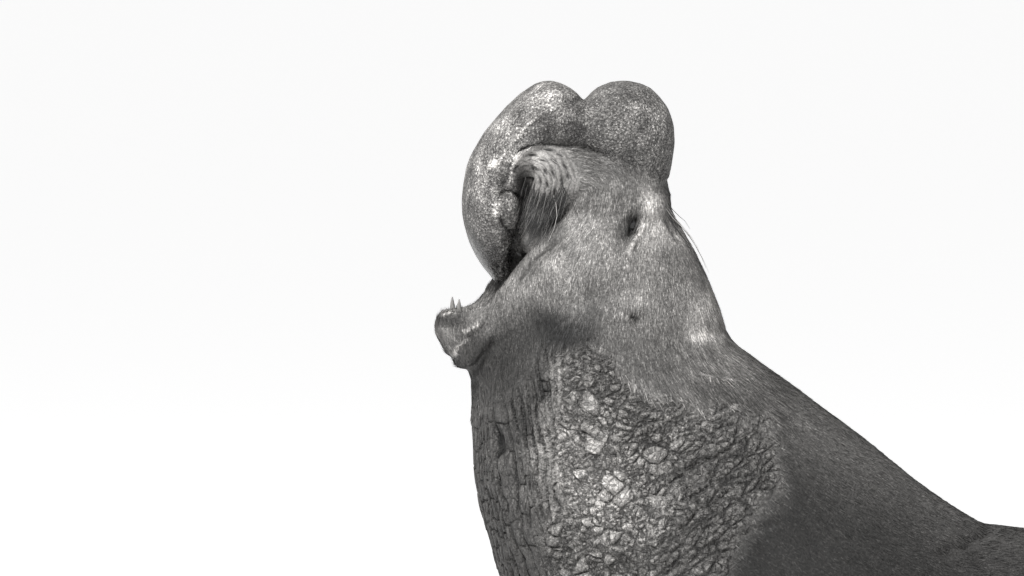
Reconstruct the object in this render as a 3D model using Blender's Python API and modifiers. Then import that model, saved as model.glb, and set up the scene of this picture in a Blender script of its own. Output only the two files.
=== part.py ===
"""A bull elephant seal at life size, reared on its foreflippers and calling with its nose in its mouth.

Units are metres. The animal faces -X, its left side is -Y and +Z is up. It rests on the floor at Z = 0,
and the origin is under the middle of its bounding box. Plain forms are lofted, fused into one body,
creased, thinned to few triangles and then parted with thin cuts into the pieces that a person would name.
"""

import math

import bmesh
import bpy
import numpy as np
from mathutils import Matrix, Vector
from mathutils.bvhtree import BVHTree

# Sizes that drive the rest
GAP = 0.0003
VOXEL = 0.012
FINE_VOXEL = 0.009
FUSE_SMOOTHING = 4
LEAST_PIECE = 2e-6
FLOOR_SNAP = 0.004
EYE_RADIUS = 0.034
EYE_OPENING = (0.0135, 0.028)
EYE_LEAN = math.radians(-14)
TAIL_SWING = 0.17
SWING_START = 0.35
SWING_END = 2.05

# The body from face to tail: back point x, z, belly point x, z, half width
BODY = (
    (-1.540, 1.650, -1.762, 1.622, 0.140),
    (-1.495, 1.566, -1.806, 1.519, 0.184),
    (-1.446, 1.476, -1.879, 1.406, 0.222),
    (-1.412, 1.391, -1.956, 1.294, 0.250),
    (-1.392, 1.328, -1.972, 1.215, 0.274),
    (-1.320, 1.269, -1.964, 1.114, 0.310),
    (-1.219, 1.198, -1.955, 0.990, 0.350),
    (-1.122, 1.125, -1.928, 0.877, 0.388),
    (-1.032, 1.053, -1.893, 0.765, 0.420),
    (-0.941, 0.982, -1.842, 0.625, 0.450),
    (-0.873, 0.940, -1.775, 0.450, 0.475),
    (-0.792, 0.903, -1.655, 0.275, 0.492),
    (-0.672, 0.881, -1.455, 0.110, 0.508),
    (-0.499, 0.858, -1.180, -0.010, 0.522),
    (-0.263, 0.822, -0.790, -0.055, 0.535),
    (0.007, 0.788, -0.260, -0.060, 0.545),
    (0.299, 0.745, 0.209, -0.060, 0.535),
    (0.614, 0.680, 0.592, -0.060, 0.500),
    (0.929, 0.580, 0.929, -0.055, 0.435),
    (1.199, 0.455, 1.199, -0.045, 0.345),
    (1.400, 0.345, 1.390, -0.030, 0.255),
    (1.520, 0.270, 1.510, 0.000, 0.185),
    (1.585, 0.215, 1.580, 0.040, 0.120),
)
BODY_SAG = 0.10
BODY_FULLNESS = 2.15

# The lower jaw from its hinge to the chin, in the same terms
JAW = (
    (-1.700, 1.650, -1.669, 1.327, 0.180),
    (-1.792, 1.622, -1.816, 1.298, 0.172),
    (-1.868, 1.534, -1.936, 1.252, 0.150),
    (-1.926, 1.440, -1.992, 1.248, 0.120),
    (-1.974, 1.402, -2.022, 1.278, 0.094),
    (-2.016, 1.400, -2.044, 1.314, 0.072),
    (-2.046, 1.390, -2.060, 1.342, 0.040),
)
JAW_FULLNESS = 3.0

# The hollow of the mouth from the throat to the lower lip, in the same terms
MOUTH = (
    (-1.750, 1.625, -1.757, 1.580, 0.040),
    (-1.785, 1.640, -1.800, 1.535, 0.078),
    (-1.822, 1.650, -1.848, 1.482, 0.104),
    (-1.866, 1.650, -1.898, 1.428, 0.108),
    (-1.912, 1.600, -1.942, 1.393, 0.094),
    (-1.958, 1.520, -1.983, 1.368, 0.072),
    (-2.002, 1.466, -2.018, 1.366, 0.048),
    (-2.034, 1.440, -2.040, 1.382, 0.022),
)

# The nose from the brow, over its two lobes, to the tip: outer point x, z, inner point x, z, half width
NOSE = (
    (-1.545, 1.640, -1.690, 1.640, 0.150),
    (-1.523, 1.722, -1.700, 1.660, 0.155),
    (-1.520, 1.818, -1.712, 1.680, 0.156),
    (-1.566, 1.887, -1.718, 1.700, 0.152),
    (-1.627, 1.907, -1.724, 1.706, 0.147),
    (-1.683, 1.892, -1.732, 1.708, 0.140),
    (-1.717, 1.860, -1.741, 1.708, 0.132),
    (-1.748, 1.889, -1.757, 1.708, 0.136),
    (-1.800, 1.908, -1.780, 1.706, 0.142),
    (-1.849, 1.886, -1.811, 1.700, 0.146),
    (-1.899, 1.841, -1.840, 1.690, 0.148),
    (-1.948, 1.780, -1.856, 1.669, 0.145),
    (-1.983, 1.708, -1.862, 1.640, 0.138),
    (-1.994, 1.622, -1.868, 1.598, 0.120),
    (-1.981, 1.550, -1.878, 1.550, 0.095),
    (-1.953, 1.494, -1.882, 1.508, 0.074),
    (-1.918, 1.447, -1.888, 1.470, 0.046),
)
NOSE_FULLNESS = 2.5
# The last rows of the nose hang free, with this much clearance from the lips around them
FREE_NOSE_ROWS = 4
NOSE_CLEARANCE = 0.018

# The upper jaw from the cheeks to the front of the lip, in the same terms
UPPER_JAW = (
    (-1.690, 1.745, -1.740, 1.600, 0.136),
    (-1.760, 1.752, -1.785, 1.580, 0.136),
    (-1.820, 1.750, -1.830, 1.556, 0.130),
    (-1.852, 1.735, -1.858, 1.545, 0.120),
    (-1.868, 1.715, -1.871, 1.556, 0.104),
)
UPPER_JAW_FULLNESS = 3.2

# Round forms of the head: centre x, y, z, then radii x, y, z. Those off the middle are on both sides
HEAD_FORMS = {
    "face": ((-1.672, 0.0, 1.640), (0.150, 0.172, 0.140)),
    "whisker_pad": ((-1.812, 0.106, 1.694), (0.064, 0.058, 0.070)),
    "muzzle_side": ((-1.740, 0.088, 1.668), (0.085, 0.074, 0.092)),
    "brow": ((-1.610, 0.080, 1.618), (0.076, 0.078, 0.066)),
    "cheek": ((-1.700, 0.085, 1.450), (0.165, 0.140, 0.175)),
}

# Foreflipper: x, y, z of the middle line, half chord, half thickness, from the shoulder to the web
ARM = (
    (-1.300, 0.300, 0.390, 0.250, 0.165),
    (-1.350, 0.410, 0.265, 0.225, 0.148),
    (-1.395, 0.500, 0.160, 0.200, 0.112),
    (-1.430, 0.575, 0.082, 0.180, 0.074),
    (-1.458, 0.650, 0.036, 0.172, 0.048),
    (-1.474, 0.730, 0.020, 0.166, 0.034),
    (-1.482, 0.810, 0.013, 0.150, 0.024),
)
# Tips of the five fingers: x, y, and half width at the knuckle
FINGERS = (
    (-1.632, 0.858, 0.038),
    (-1.566, 0.890, 0.033),
    (-1.496, 0.900, 0.030),
    (-1.428, 0.884, 0.028),
    (-1.366, 0.842, 0.028),
)
FINGER_ROOT = Vector((-1.462, 0.600, 0.048))
NAIL_LENGTH = 0.052
NAIL_RADIUS = 0.0095

# Hind flipper: the same terms, from the ankle to the web
FOOT = (
    (1.440, 0.095, 0.150, 0.085, 0.090),
    (1.540, 0.135, 0.110, 0.078, 0.070),
    (1.640, 0.175, 0.075, 0.078, 0.050),
    (1.740, 0.210, 0.042, 0.110, 0.038),
    (1.840, 0.242, 0.022, 0.148, 0.028),
    (1.935, 0.262, 0.014, 0.162, 0.021),
)
TOES = (
    (2.060, 0.455, 0.040),
    (1.995, 0.365, 0.030),
    (1.970, 0.285, 0.027),
    (1.990, 0.205, 0.028),
    (2.050, 0.125, 0.034),
)
TOE_ROOT = Vector((1.690, 0.205, 0.055))
TAIL = (
    (1.500, 0.0, 0.200, 0.055, 0.045),
    (1.640, 0.0, 0.170, 0.036, 0.024),
    (1.760, 0.0, 0.130, 0.016, 0.011),
)

# Creases seen from the side: path of x, z points, width, depth, least distance from the middle plane
CREASES = (
    (
        (
            (-1.872, 1.715),
            (-1.862, 1.742),
            (-1.826, 1.762),
            (-1.780, 1.765),
            (-1.735, 1.758),
            (-1.695, 1.738),
        ),
        0.010,
        0.011,
        0.06,
    ),
    (((-1.872, 1.720), (-1.876, 1.670), (-1.876, 1.630)), 0.010, 0.014, 0.06),
    (((-1.752, 1.655), (-1.787, 1.612), (-1.820, 1.580)), 0.010, 0.012, 0.10),
    (((-1.772, 1.585), (-1.822, 1.535), (-1.866, 1.480), (-1.892, 1.445)), 0.011, 0.007, 0.06),
    (((-2.016, 1.276), (-1.996, 1.305), (-1.960, 1.345), (-1.930, 1.372)), 0.011, 0.008, 0.0),
    (((-1.992, 1.245), (-1.950, 1.290), (-1.922, 1.325)), 0.013, 0.010, 0.0),
    (((-0.790, 0.920), (-0.850, 0.860), (-0.940, 0.800), (-1.060, 0.730)), 0.026, 0.011, 0.0),
    (((-0.520, 0.880), (-0.600, 0.780), (-0.720, 0.680)), 0.035, 0.008, 0.0),
)
# Furrows of the shield on the throat and chest: how many, their width and depth, their start and end
FURROWS = 6
FURROW_WIDTH = 0.020
FURROW_DEPTH = 0.009
FURROW_TOP = ((-1.930, 1.180), (-1.560, 1.130))
FURROW_BOTTOM = ((-1.840, 0.660), (-1.280, 0.760))

EYE_SINK = 0.006
EYE_SPOT = (-1.626, 1.584)
EYE_HOLLOW = (0.052, 0.010)
EAR_SPOT = (-1.632, 1.372)
EAR_RADII = (0.009, 0.016, 0.013)
NOSTRIL_SPOT = Vector((-1.908, 0.022, 1.450))
NOSTRIL_RADII = (0.015, 0.010, 0.024)

# The tongue on the floor of the mouth, in the same terms as the body, and the canines beside its tip
TONGUE = (
    (-1.845, 1.530, -1.858, 1.500, 0.030),
    (-1.868, 1.486, -1.888, 1.446, 0.046),
    (-1.900, 1.440, -1.925, 1.400, 0.046),
    (-1.944, 1.400, -1.962, 1.368, 0.036),
    (-1.974, 1.386, -1.984, 1.364, 0.020),
)
CANINE_ROOT = Vector((-2.000, 0.051, 1.350))
CANINE_TIP = Vector((-2.011, 0.058, 1.417))
CANINE_RADIUS = 0.013

# Triangles that each zone of the animal keeps
HEAD_TRIANGLES = 2900
NECK_TRIANGLES = 1000
LIMB_TRIANGLES = 1200
REAR_TRIANGLES = 700

# Side-view paths of the cuts between the pieces, and how far each reaches to the sides
HEAD_CUT = (((-1.24, 1.345), (-2.08, 1.180)), 0.60)
NECK_CUT = (((-1.00, 1.153), (-2.06, 0.860)), 0.70)
CHEST_CUT = (((-0.50, 0.980), (-0.62, 0.800), (-1.16, 0.100), (-1.22, -0.020)), 0.70)
LOIN_CUT = (((0.50, 0.900), (0.50, -0.100)), 0.70)
NOSE_CUT = (
    ((-1.440, 1.672), (-1.560, 1.694), (-1.690, 1.736), (-1.780, 1.763), (-1.826, 1.760), (-1.860, 1.742),
     (-1.868, 1.700), (-1.867, 1.650), (-1.866, 1.610), (-1.868, 1.583), (-1.874, 1.555)),
    0.30,
)
LOBE_CUT = (((-1.7165, 1.940), (-1.728, 1.735)), 0.30)
JAW_CUT = (
    ((-1.886, 1.530), (-1.862, 1.545), (-1.830, 1.572), (-1.795, 1.610), (-1.772, 1.626), (-1.758, 1.616),
     (-1.760, 1.580), (-1.780, 1.520), (-1.860, 1.400), (-2.080, 1.222)),
    0.32,
)
SHOULDER_Y = 0.545
SHOULDER_CUT = ((-1.78, -1.14), (-0.05, 0.42))
HIP_CUT_X = 1.640

COLOURS = {
    "skin": ((0.150, 0.140, 0.130), 0.75),
    "nose_skin": ((0.170, 0.158, 0.146), 0.70),
    "shield": ((0.240, 0.226, 0.212), 0.80),
    "tongue": ((0.330, 0.190, 0.170), 0.45),
    "tooth": ((0.620, 0.560, 0.440), 0.40),
    "eye": ((0.012, 0.010, 0.009), 0.10),
}

# Each piece of the fused body: a point near its middle, and its material
PIECES = {
    "head": ((-1.66, 0.0, 1.46), "skin"),
    "proboscis_rear_lobe": ((-1.63, 0.0, 1.78), "nose_skin"),
    "proboscis_front_lobe": ((-1.87, 0.0, 1.72), "nose_skin"),
    "lower_jaw": ((-1.91, 0.0, 1.36), "skin"),
    "neck": ((-1.59, 0.0, 1.13), "skin"),
    "chest": ((-1.29, 0.0, 0.62), "shield"),
    "trunk": ((-0.25, 0.0, 0.40), "skin"),
    "hindquarters": ((0.98, -0.1, 0.26), "skin"),
    "foreflipper_left": ((-1.50, -0.66, 0.10), "skin"),
    "foreflipper_right": ((-1.50, 0.66, 0.10), "skin"),
    "hindflipper_left": ((1.80, -0.37, 0.05), "skin"),
    "hindflipper_right": ((1.80, 0.13, 0.05), "skin"),
    "tail": ((1.69, -0.11, 0.15), "skin"),
}


def clear_scene():
    """Removes the objects that the file opened with."""
    for obj in list(bpy.data.objects):
        bpy.data.objects.remove(obj)


def new_collection(name):
    collection = bpy.data.collections.new(name)
    bpy.context.scene.collection.children.link(collection)
    return collection


def material(name):
    """A plain Principled material of the named colour."""
    made = bpy.data.materials.get(name) or bpy.data.materials.new(name)
    made.use_nodes = True
    shader = made.node_tree.nodes["Principled BSDF"]
    colour, roughness = COLOURS[name]
    shader.inputs["Base Color"].default_value = (*colour, 1.0)
    shader.inputs["Roughness"].default_value = roughness
    shader.inputs["Metallic"].default_value = 0.0
    return made


def object_from(name, mesh, collection):
    obj = bpy.data.objects.new(name, mesh)
    collection.objects.link(obj)
    return obj


def resampled(rows, steps):
    """The rows with smooth Catmull-Rom rows between them."""
    rows = np.array(rows, float)
    padded = np.vstack([2 * rows[0] - rows[1], rows, 2 * rows[-1] - rows[-2]])
    out = []
    for i in range(len(rows) - 1):
        a, b, c, d = padded[i : i + 4]
        for t in np.linspace(0, 1, steps, endpoint=False):
            square = (2 * a - 5 * b + 4 * c - d) * t**2
            cube = (3 * b - a - 3 * c + d) * t**3
            out.append(0.5 * (2 * b + (c - a) * t + square + cube))
    out.append(rows[-1])
    return np.array(out)


def skin_rings(name, rings, collection):
    """A closed mesh through rings of equal numbers of points, with a round cap at each end."""
    bm = bmesh.new()
    loops = [[bm.verts.new(point) for point in ring] for ring in rings]
    sides = len(loops[0])
    for first, second in zip(loops, loops[1:]):
        for i in range(sides):
            j = (i + 1) % sides
            bm.faces.new((first[i], first[j], second[j], second[i]))
    bm.faces.new(loops[0][::-1])
    bm.faces.new(loops[-1])
    bmesh.ops.recalc_face_normals(bm, faces=bm.faces)
    mesh = bpy.data.meshes.new(name)
    bm.to_mesh(mesh)
    bm.free()
    return object_from(name, mesh, collection)


def full_round(value, fullness):
    """A sine or cosine bent so that its oval is round (2) or fuller, like a worn box (more than 2)."""
    return math.copysign(abs(value) ** (2 / fullness), value)


def profile_loft(name, rows, collection, steps=5, sides=40, sag=0.0, fullness=2.0):
    """A loft whose sections stand across the middle plane, each between two points of the profile."""
    rings = []
    for top_x, top_z, low_x, low_z, half_width in resampled(rows, steps):
        middle = np.array([(top_x + low_x) / 2, 0.0, (top_z + low_z) / 2])
        half_axis = np.array([(top_x - low_x) / 2, 0.0, (top_z - low_z) / 2])
        ring = []
        for angle in np.linspace(0, 2 * math.pi, sides, endpoint=False):
            across = full_round(math.cos(angle), fullness)
            along = full_round(math.sin(angle), fullness) - sag * (1 - abs(math.sin(angle))) ** 1.5
            ring.append(middle + half_axis * along + np.array([0.0, across * half_width, 0.0]))
        rings.append(ring)
    return skin_rings(name, rings, collection)


def path_loft(name, rows, chord, collection, steps=4, sides=20):
    """A loft of flat ovals along a path in space, with their long axis near the chord direction."""
    rows = resampled(rows, steps)
    points = rows[:, :3]
    tangents = np.gradient(points, axis=0)
    rings = []
    for point, tangent, (half_chord, half_thickness) in zip(points, tangents, rows[:, 3:]):
        tangent = tangent / np.linalg.norm(tangent)
        wide = np.array(chord, float) - tangent * np.dot(chord, tangent)
        wide = wide / np.linalg.norm(wide)
        thick = np.cross(tangent, wide)
        ring = [
            point + wide * half_chord * math.cos(a) + thick * half_thickness * math.sin(a)
            for a in np.linspace(0, 2 * math.pi, sides, endpoint=False)
        ]
        rings.append(ring)
    return skin_rings(name, rings, collection)


def ellipsoid(name, centre, radii, collection, segments=28, lean=0.0):
    """An oval ball, turned by lean about the sideways axis."""
    bm = bmesh.new()
    place = Matrix.Translation(centre) @ Matrix.Rotation(lean, 4, "Y") @ Matrix.Diagonal((*radii, 1.0))
    bmesh.ops.create_uvsphere(bm, u_segments=segments, v_segments=segments // 2, radius=1.0, matrix=place)
    mesh = bpy.data.meshes.new(name)
    bm.to_mesh(mesh)
    bm.free()
    return object_from(name, mesh, collection)


def mirrored(obj, collection):
    """A copy of the object on the other side of the middle plane."""
    mesh = obj.data.copy()
    mesh.transform(Matrix.Diagonal((1.0, -1.0, 1.0, 1.0)))
    mesh.flip_normals()
    return object_from(obj.name + "_mirrored", mesh, collection)


def joined(name, objects, collection):
    """One object that holds the meshes of several, which are removed."""
    bm = bmesh.new()
    for obj in objects:
        bm.from_mesh(obj.data)
        bpy.data.objects.remove(obj)
    mesh = bpy.data.meshes.new(name)
    bm.to_mesh(mesh)
    bm.free()
    return object_from(name, mesh, collection)


def settle(obj):
    """Replaces the object's mesh by what its modifiers make of it."""
    graph = bpy.context.evaluated_depsgraph_get()
    mesh = bpy.data.meshes.new_from_object(obj.evaluated_get(graph))
    obj.modifiers.clear()
    obj.data = mesh


def fuse(obj, voxel, smoothing):
    """Turns overlapping closed forms into one smooth closed surface."""
    remesh = obj.modifiers.new("fuse", "REMESH")
    remesh.mode = "VOXEL"
    remesh.voxel_size = voxel
    smooth = obj.modifiers.new("soften", "SMOOTH")
    smooth.factor = 0.5
    smooth.iterations = smoothing
    settle(obj)


def boolean(obj, other, operation, solver="EXACT"):
    """Applies a Boolean with another object and hides that one."""
    other.hide_render = True
    other.display_type = "WIRE"
    cut = obj.modifiers.new(operation.lower(), "BOOLEAN")
    cut.operation = operation
    cut.solver = solver
    cut.object = other
    settle(obj)


def points_of(mesh):
    points = np.empty(len(mesh.vertices) * 3, np.float32)
    mesh.vertices.foreach_get("co", points)
    return points.reshape(-1, 3).astype(float)


def normals_of(mesh):
    normals = np.empty(len(mesh.vertices) * 3, np.float32)
    mesh.vertices.foreach_get("normal", normals)
    return normals.reshape(-1, 3).astype(float)


def store_points(mesh, points):
    mesh.vertices.foreach_set("co", points.astype(np.float32).ravel())
    mesh.update()


def distance_to_path(flat_points, path):
    """Distance in the side view from each point to a line of points."""
    nearest = np.full(len(flat_points), np.inf)
    path = np.array(path, float)
    for start, end in zip(path, path[1:]):
        span = end - start
        share = np.clip((flat_points - start) @ span / (span @ span), 0, 1)
        gap = np.linalg.norm(flat_points - start - share[:, None] * span, axis=1)
        nearest = np.minimum(nearest, gap)
    return nearest


def furrow_paths():
    """Side-view lines of the shield's furrows, fanned between its upper and lower edges."""
    (top_front, top_rear) = np.array(FURROW_TOP)
    (low_front, low_rear) = np.array(FURROW_BOTTOM)
    for share in np.linspace(0, 1, FURROWS):
        top = top_front + (top_rear - top_front) * share
        low = low_front + (low_rear - low_front) * share
        bulge = np.array([0.03, -0.02]) * math.sin(math.pi * share)
        yield (top, (top + low) / 2 + bulge, low)


def pit(points, normals, centre, radius, depth):
    """Pushes the surface near a centre inwards, on both sides of the animal."""
    folded = points.copy()
    folded[:, 1] = np.abs(folded[:, 1])
    reach = np.linalg.norm(folded - np.array(centre), axis=1) / radius
    return points - normals * (depth * np.exp(-(reach**2)))[:, None]


def surface_point(tree, spot):
    """Where a line from the animal's right side meets its surface, at a side-view spot."""
    place, _, _, _ = tree.ray_cast(Vector((spot[0], 2.0, spot[1])), Vector((0, -1, 0)))
    return place


def surface_tree(mesh):
    points = [vertex.co.copy() for vertex in mesh.vertices]
    return BVHTree.FromPolygons(points, [tuple(face.vertices) for face in mesh.polygons])


def path_fade(flat_points, path):
    """1 along the middle of a side-view path, falling to 0 at its two ends."""
    start, end = np.array(path[0]), np.array(path[-1])
    share = np.clip((flat_points - start) @ (end - start) / ((end - start) @ (end - start)), 0, 1)
    return np.clip(np.minimum(share, 1 - share) * 6, 0, 1)


def sculpt(obj):
    """Presses creases, furrows and small hollows into the fused body."""
    mesh = obj.data
    points = points_of(mesh)
    normals = normals_of(mesh)
    tree = surface_tree(mesh)
    side = np.abs(points[:, 1])
    flat = points[:, [0, 2]]
    sink = np.zeros(len(points))
    for path, width, depth, least_side in CREASES:
        near = np.exp(-((distance_to_path(flat, path) / width) ** 2))
        sink += depth * near * np.clip((side - least_side) / 0.03 + 1, 0, 1)
    for path in furrow_paths():
        near = np.exp(-((distance_to_path(flat, path) / FURROW_WIDTH) ** 2))
        sink += FURROW_DEPTH * near * path_fade(flat, path)
    points -= normals * sink[:, None]
    points = pit(points, normals, surface_point(tree, EYE_SPOT), *EYE_HOLLOW)
    store_points(mesh, points)


def rest_on_floor(obj):
    """Flattens whatever lies below the floor or almost on it."""
    points = points_of(obj.data)
    points[points[:, 2] < FLOOR_SNAP, 2] = 0.0
    store_points(obj.data, points)


def swing(obj):
    """Bends the hindquarters towards the animal's left, so that it doesn't lie ruler-straight."""
    points = points_of(obj.data)
    share = np.clip((points[:, 0] - SWING_START) / (SWING_END - SWING_START), 0, None)
    points[:, 1] -= TAIL_SWING * share**2
    store_points(obj.data, points)


def zone_masks(points):
    """Which points belong to the head, the neck and chest, the flippers and the rear."""
    head = (points[:, 0] < -1.36) & (points[:, 2] > 1.27 + 0.35 * (points[:, 0] + 1.6))
    fore = (points[:, 0] < -1.2) & (points[:, 2] < 0.30) & (np.abs(points[:, 1]) > 0.42)
    hind = points[:, 0] > 1.48
    limbs = (fore | hind) & ~head
    neck = (points[:, 0] + points[:, 2] < 0.05) & ~head & ~limbs
    return head, neck, limbs, ~(head | neck | limbs)


def thin_out(obj):
    """Collapses the fused surface zone by zone to few triangles, finest on the head."""
    triangulate = obj.modifiers.new("triangles", "TRIANGULATE")
    triangulate.quad_method = "BEAUTY"
    settle(obj)
    budgets = (HEAD_TRIANGLES, NECK_TRIANGLES, LIMB_TRIANGLES, REAR_TRIANGLES)
    for index, budget in enumerate(budgets):
        mesh = obj.data
        points = points_of(mesh)
        mask = zone_masks(points)[index]
        group = obj.vertex_groups.new(name=f"zone_{index}")
        group.add(np.flatnonzero(mask).tolist(), 1.0, "REPLACE")
        corners = np.empty(len(mesh.polygons) * 3, np.int32)
        mesh.polygons.foreach_get("vertices", corners)
        in_zone = int(mask[corners.reshape(-1, 3)].all(axis=1).sum())
        total = len(mesh.polygons)
        collapse = obj.modifiers.new("thin", "DECIMATE")
        collapse.ratio = (total - in_zone + budget) / total
        collapse.vertex_group = group.name
        collapse.vertex_group_factor = 1.0
        settle(obj)
        obj.vertex_groups.clear()


def sheet_along(name, path, reach, cutters):
    """A sheet as thick as the gap that follows a side-view path and reaches equally far to both sides."""
    bm = bmesh.new()
    left = [bm.verts.new((x, -reach, z)) for x, z in path]
    right = [bm.verts.new((x, reach, z)) for x, z in path]
    for i in range(len(path) - 1):
        bm.faces.new((left[i], left[i + 1], right[i + 1], right[i]))
    mesh = bpy.data.meshes.new(name)
    bm.to_mesh(mesh)
    bm.free()
    sheet = object_from(name, mesh, cutters)
    wall = sheet.modifiers.new("thickness", "SOLIDIFY")
    wall.thickness = GAP
    wall.offset = 0.0
    wall.use_even_offset = True
    settle(sheet)
    return sheet


def box(name, low, high, cutters):
    """An upright box between two corners."""
    low, high = Vector(low), Vector(high)
    place = Matrix.Translation((low + high) / 2) @ Matrix.Diagonal((*(high - low), 1.0))
    bm = bmesh.new()
    bmesh.ops.create_cube(bm, size=1.0, matrix=place)
    mesh = bpy.data.meshes.new(name)
    bm.to_mesh(mesh)
    bm.free()
    return object_from(name, mesh, cutters)


def digits(root, tips, reach, cutters, thickness):
    """Flat tapered fingers from a common root towards their tips."""
    made = []
    for index, (x, y, half_width) in enumerate(tips):
        tip = Vector((x, y, thickness * 0.45))
        start = root.lerp(tip, reach)
        start.z = root.z
        middle = start.lerp(tip, 0.55)
        middle.z = thickness * 0.8
        rows = (
            (*start, half_width * 1.05, thickness * 1.2),
            (*middle, half_width, thickness * 1.05),
            (*start.lerp(tip, 0.9), half_width * 0.8, thickness * 0.9),
            (*tip, half_width * 0.35, thickness * 0.5),
        )
        heading = (tip - start).normalized()
        chord = heading.cross(Vector((0, 0, 1)))
        made.append(path_loft(f"digit_{index}", rows, tuple(chord), cutters, steps=3, sides=12))
    return made


def body_forms(parts):
    """The plain forms of everything except the nose, before they are fused."""
    forms = [
        profile_loft("body", BODY, parts, steps=6, sides=72, sag=BODY_SAG, fullness=BODY_FULLNESS),
        profile_loft("jaw", JAW, parts, steps=6, fullness=JAW_FULLNESS),
        profile_loft("upper_jaw", UPPER_JAW, parts, steps=4, fullness=UPPER_JAW_FULLNESS),
    ]
    for name, (centre, radii) in HEAD_FORMS.items():
        form = ellipsoid(name, centre, radii, parts)
        forms.append(form)
        if centre[1]:
            forms.append(mirrored(form, parts))
    limbs = [path_loft("arm", ARM, (1, 0, 0), parts), path_loft("foot", FOOT, (0, 1, 0), parts)]
    limbs += digits(FINGER_ROOT, FINGERS, 0.15, parts, 0.020)
    limbs += digits(TOE_ROOT, TOES, 0.10, parts, 0.017)
    forms += limbs + [mirrored(limb, parts) for limb in limbs]
    forms.append(path_loft("tail", TAIL, (0, 1, 0), parts))
    return forms


def model_animal(parts, cutters):
    """The whole animal as one thin-skinned closed mesh, before it is parted."""
    animal = joined("animal", body_forms(parts), parts)
    fuse(animal, VOXEL, FUSE_SMOOTHING)
    boolean(animal, profile_loft("mouth_hollow", MOUTH, cutters, steps=4, sides=32), "DIFFERENCE")
    clearance = grown_rows(NOSE[-FREE_NOSE_ROWS:], NOSE_CLEARANCE)
    boolean(animal, profile_loft("nose_clearance", clearance, cutters, steps=4, sides=32), "DIFFERENCE")
    nose = profile_loft("nose", NOSE, parts, steps=6, sides=44, fullness=NOSE_FULLNESS)
    animal = joined("animal", [animal, nose], parts)
    fuse(animal, FINE_VOXEL, FUSE_SMOOTHING)
    sculpt(animal)
    swing(animal)
    rest_on_floor(animal)
    thin_out(animal)
    rest_on_floor(animal)
    return animal


def face_islands(mesh):
    """For each face, a number that it shares with the faces it is joined to through common corners."""
    parent = list(range(len(mesh.vertices)))

    def root(index):
        while parent[index] != index:
            parent[index] = parent[parent[index]]
            index = parent[index]
        return index

    for edge in mesh.edges:
        first, second = (root(index) for index in edge.vertices)
        parent[first] = second
    return [root(face.vertices[0]) for face in mesh.polygons]


def split_loose(obj, collection):
    """Replaces an object by one object for each of its loose pieces, leaving out any sliver."""
    labels = face_islands(obj.data)
    loose = []
    for label in sorted(set(labels)):
        bm = bmesh.new()
        bm.from_mesh(obj.data)
        others = [face for face, face_label in zip(bm.faces, labels) if face_label != label]
        bmesh.ops.delete(bm, geom=others, context="FACES")
        if bm.calc_volume() > LEAST_PIECE:
            mesh = bpy.data.meshes.new(obj.name)
            bm.to_mesh(mesh)
            loose.append(object_from(obj.name, mesh, collection))
        bm.free()
    bpy.data.objects.remove(obj)
    return loose


def reaches(obj, other):
    """Whether the boxes around two objects overlap."""
    first = np.array([point[:] for point in obj.bound_box])
    second = np.array([point[:] for point in other.bound_box])
    below = (first.min(axis=0) <= second.max(axis=0)).all()
    above = (second.min(axis=0) <= first.max(axis=0)).all()
    return bool(below and above)


def middle_of(mesh):
    """The mean place of the surface."""
    areas = np.array([face.area for face in mesh.polygons])
    centres = np.array([face.center[:] for face in mesh.polygons])
    return Vector((centres * areas[:, None]).sum(axis=0) / areas.sum())


def part_animal(animal, parts, cutters):
    """Cuts the fused body along its seams and makes a named object of each loose piece."""
    middle_cuts = {
        "head": HEAD_CUT,
        "neck": NECK_CUT,
        "chest": CHEST_CUT,
        "loin": LOIN_CUT,
        "nose": NOSE_CUT,
        "lobe": LOBE_CUT,
        "jaw": JAW_CUT,
    }
    sheets = [sheet_along(f"{name}_cut", *cut, cutters) for name, cut in middle_cuts.items()]
    sheets.append(box("hip_cut", (HIP_CUT_X, -0.9, -0.1), (HIP_CUT_X + GAP, 0.9, 0.6), cutters))
    (front, rear), (low, high) = SHOULDER_CUT
    for name, side in (("left", -1), ("right", 1)):
        near, far = sorted((side * SHOULDER_Y, side * (SHOULDER_Y + GAP)))
        sheets.append(box(f"shoulder_cut_{name}", (front, near, low), (rear, far, high), cutters))
    loose = [animal]
    for sheet in sheets:
        untouched = [piece for piece in loose if not reaches(piece, sheet)]
        for piece in loose:
            if piece not in untouched:
                boolean(piece, sheet, "DIFFERENCE", solver="MANIFOLD")
                untouched += split_loose(piece, parts)
        loose = untouched
    pieces = {}
    for piece in loose:
        middle = middle_of(piece.data)
        name = min(PIECES, key=lambda candidate: (Vector(PIECES[candidate][0]) - middle).length)
        piece.name = piece.data.name = name
        piece.data.materials.append(material(PIECES[name][1]))
        pieces[name] = piece
    return pieces


def add_eyes(pieces, parts, cutters, tree):
    """A ball behind an almond opening of the lids, on each side."""
    surface = surface_point(tree, EYE_SPOT)
    centre = surface - Vector((0, EYE_RADIUS + EYE_SINK, 0))
    for side, name in ((-1, "eye_left"), (1, "eye_right")):
        place = Vector((centre.x, centre.y * side, centre.z))
        socket = ellipsoid(f"{name}_socket", place, (EYE_RADIUS + GAP,) * 3, cutters, segments=18)
        boolean(pieces["head"], socket, "DIFFERENCE")
        reach = Vector((0, side * (EYE_RADIUS + 0.012), 0))
        wide, tall = EYE_OPENING
        radii = (wide, 0.03, tall)
        slot = ellipsoid(f"{name}_slot", place + reach, radii, cutters, segments=20, lean=EYE_LEAN)
        boolean(pieces["head"], slot, "DIFFERENCE")
        eye = ellipsoid(name, place, (EYE_RADIUS,) * 3, parts, segments=18)
        eye.data.materials.append(material("eye"))


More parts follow.
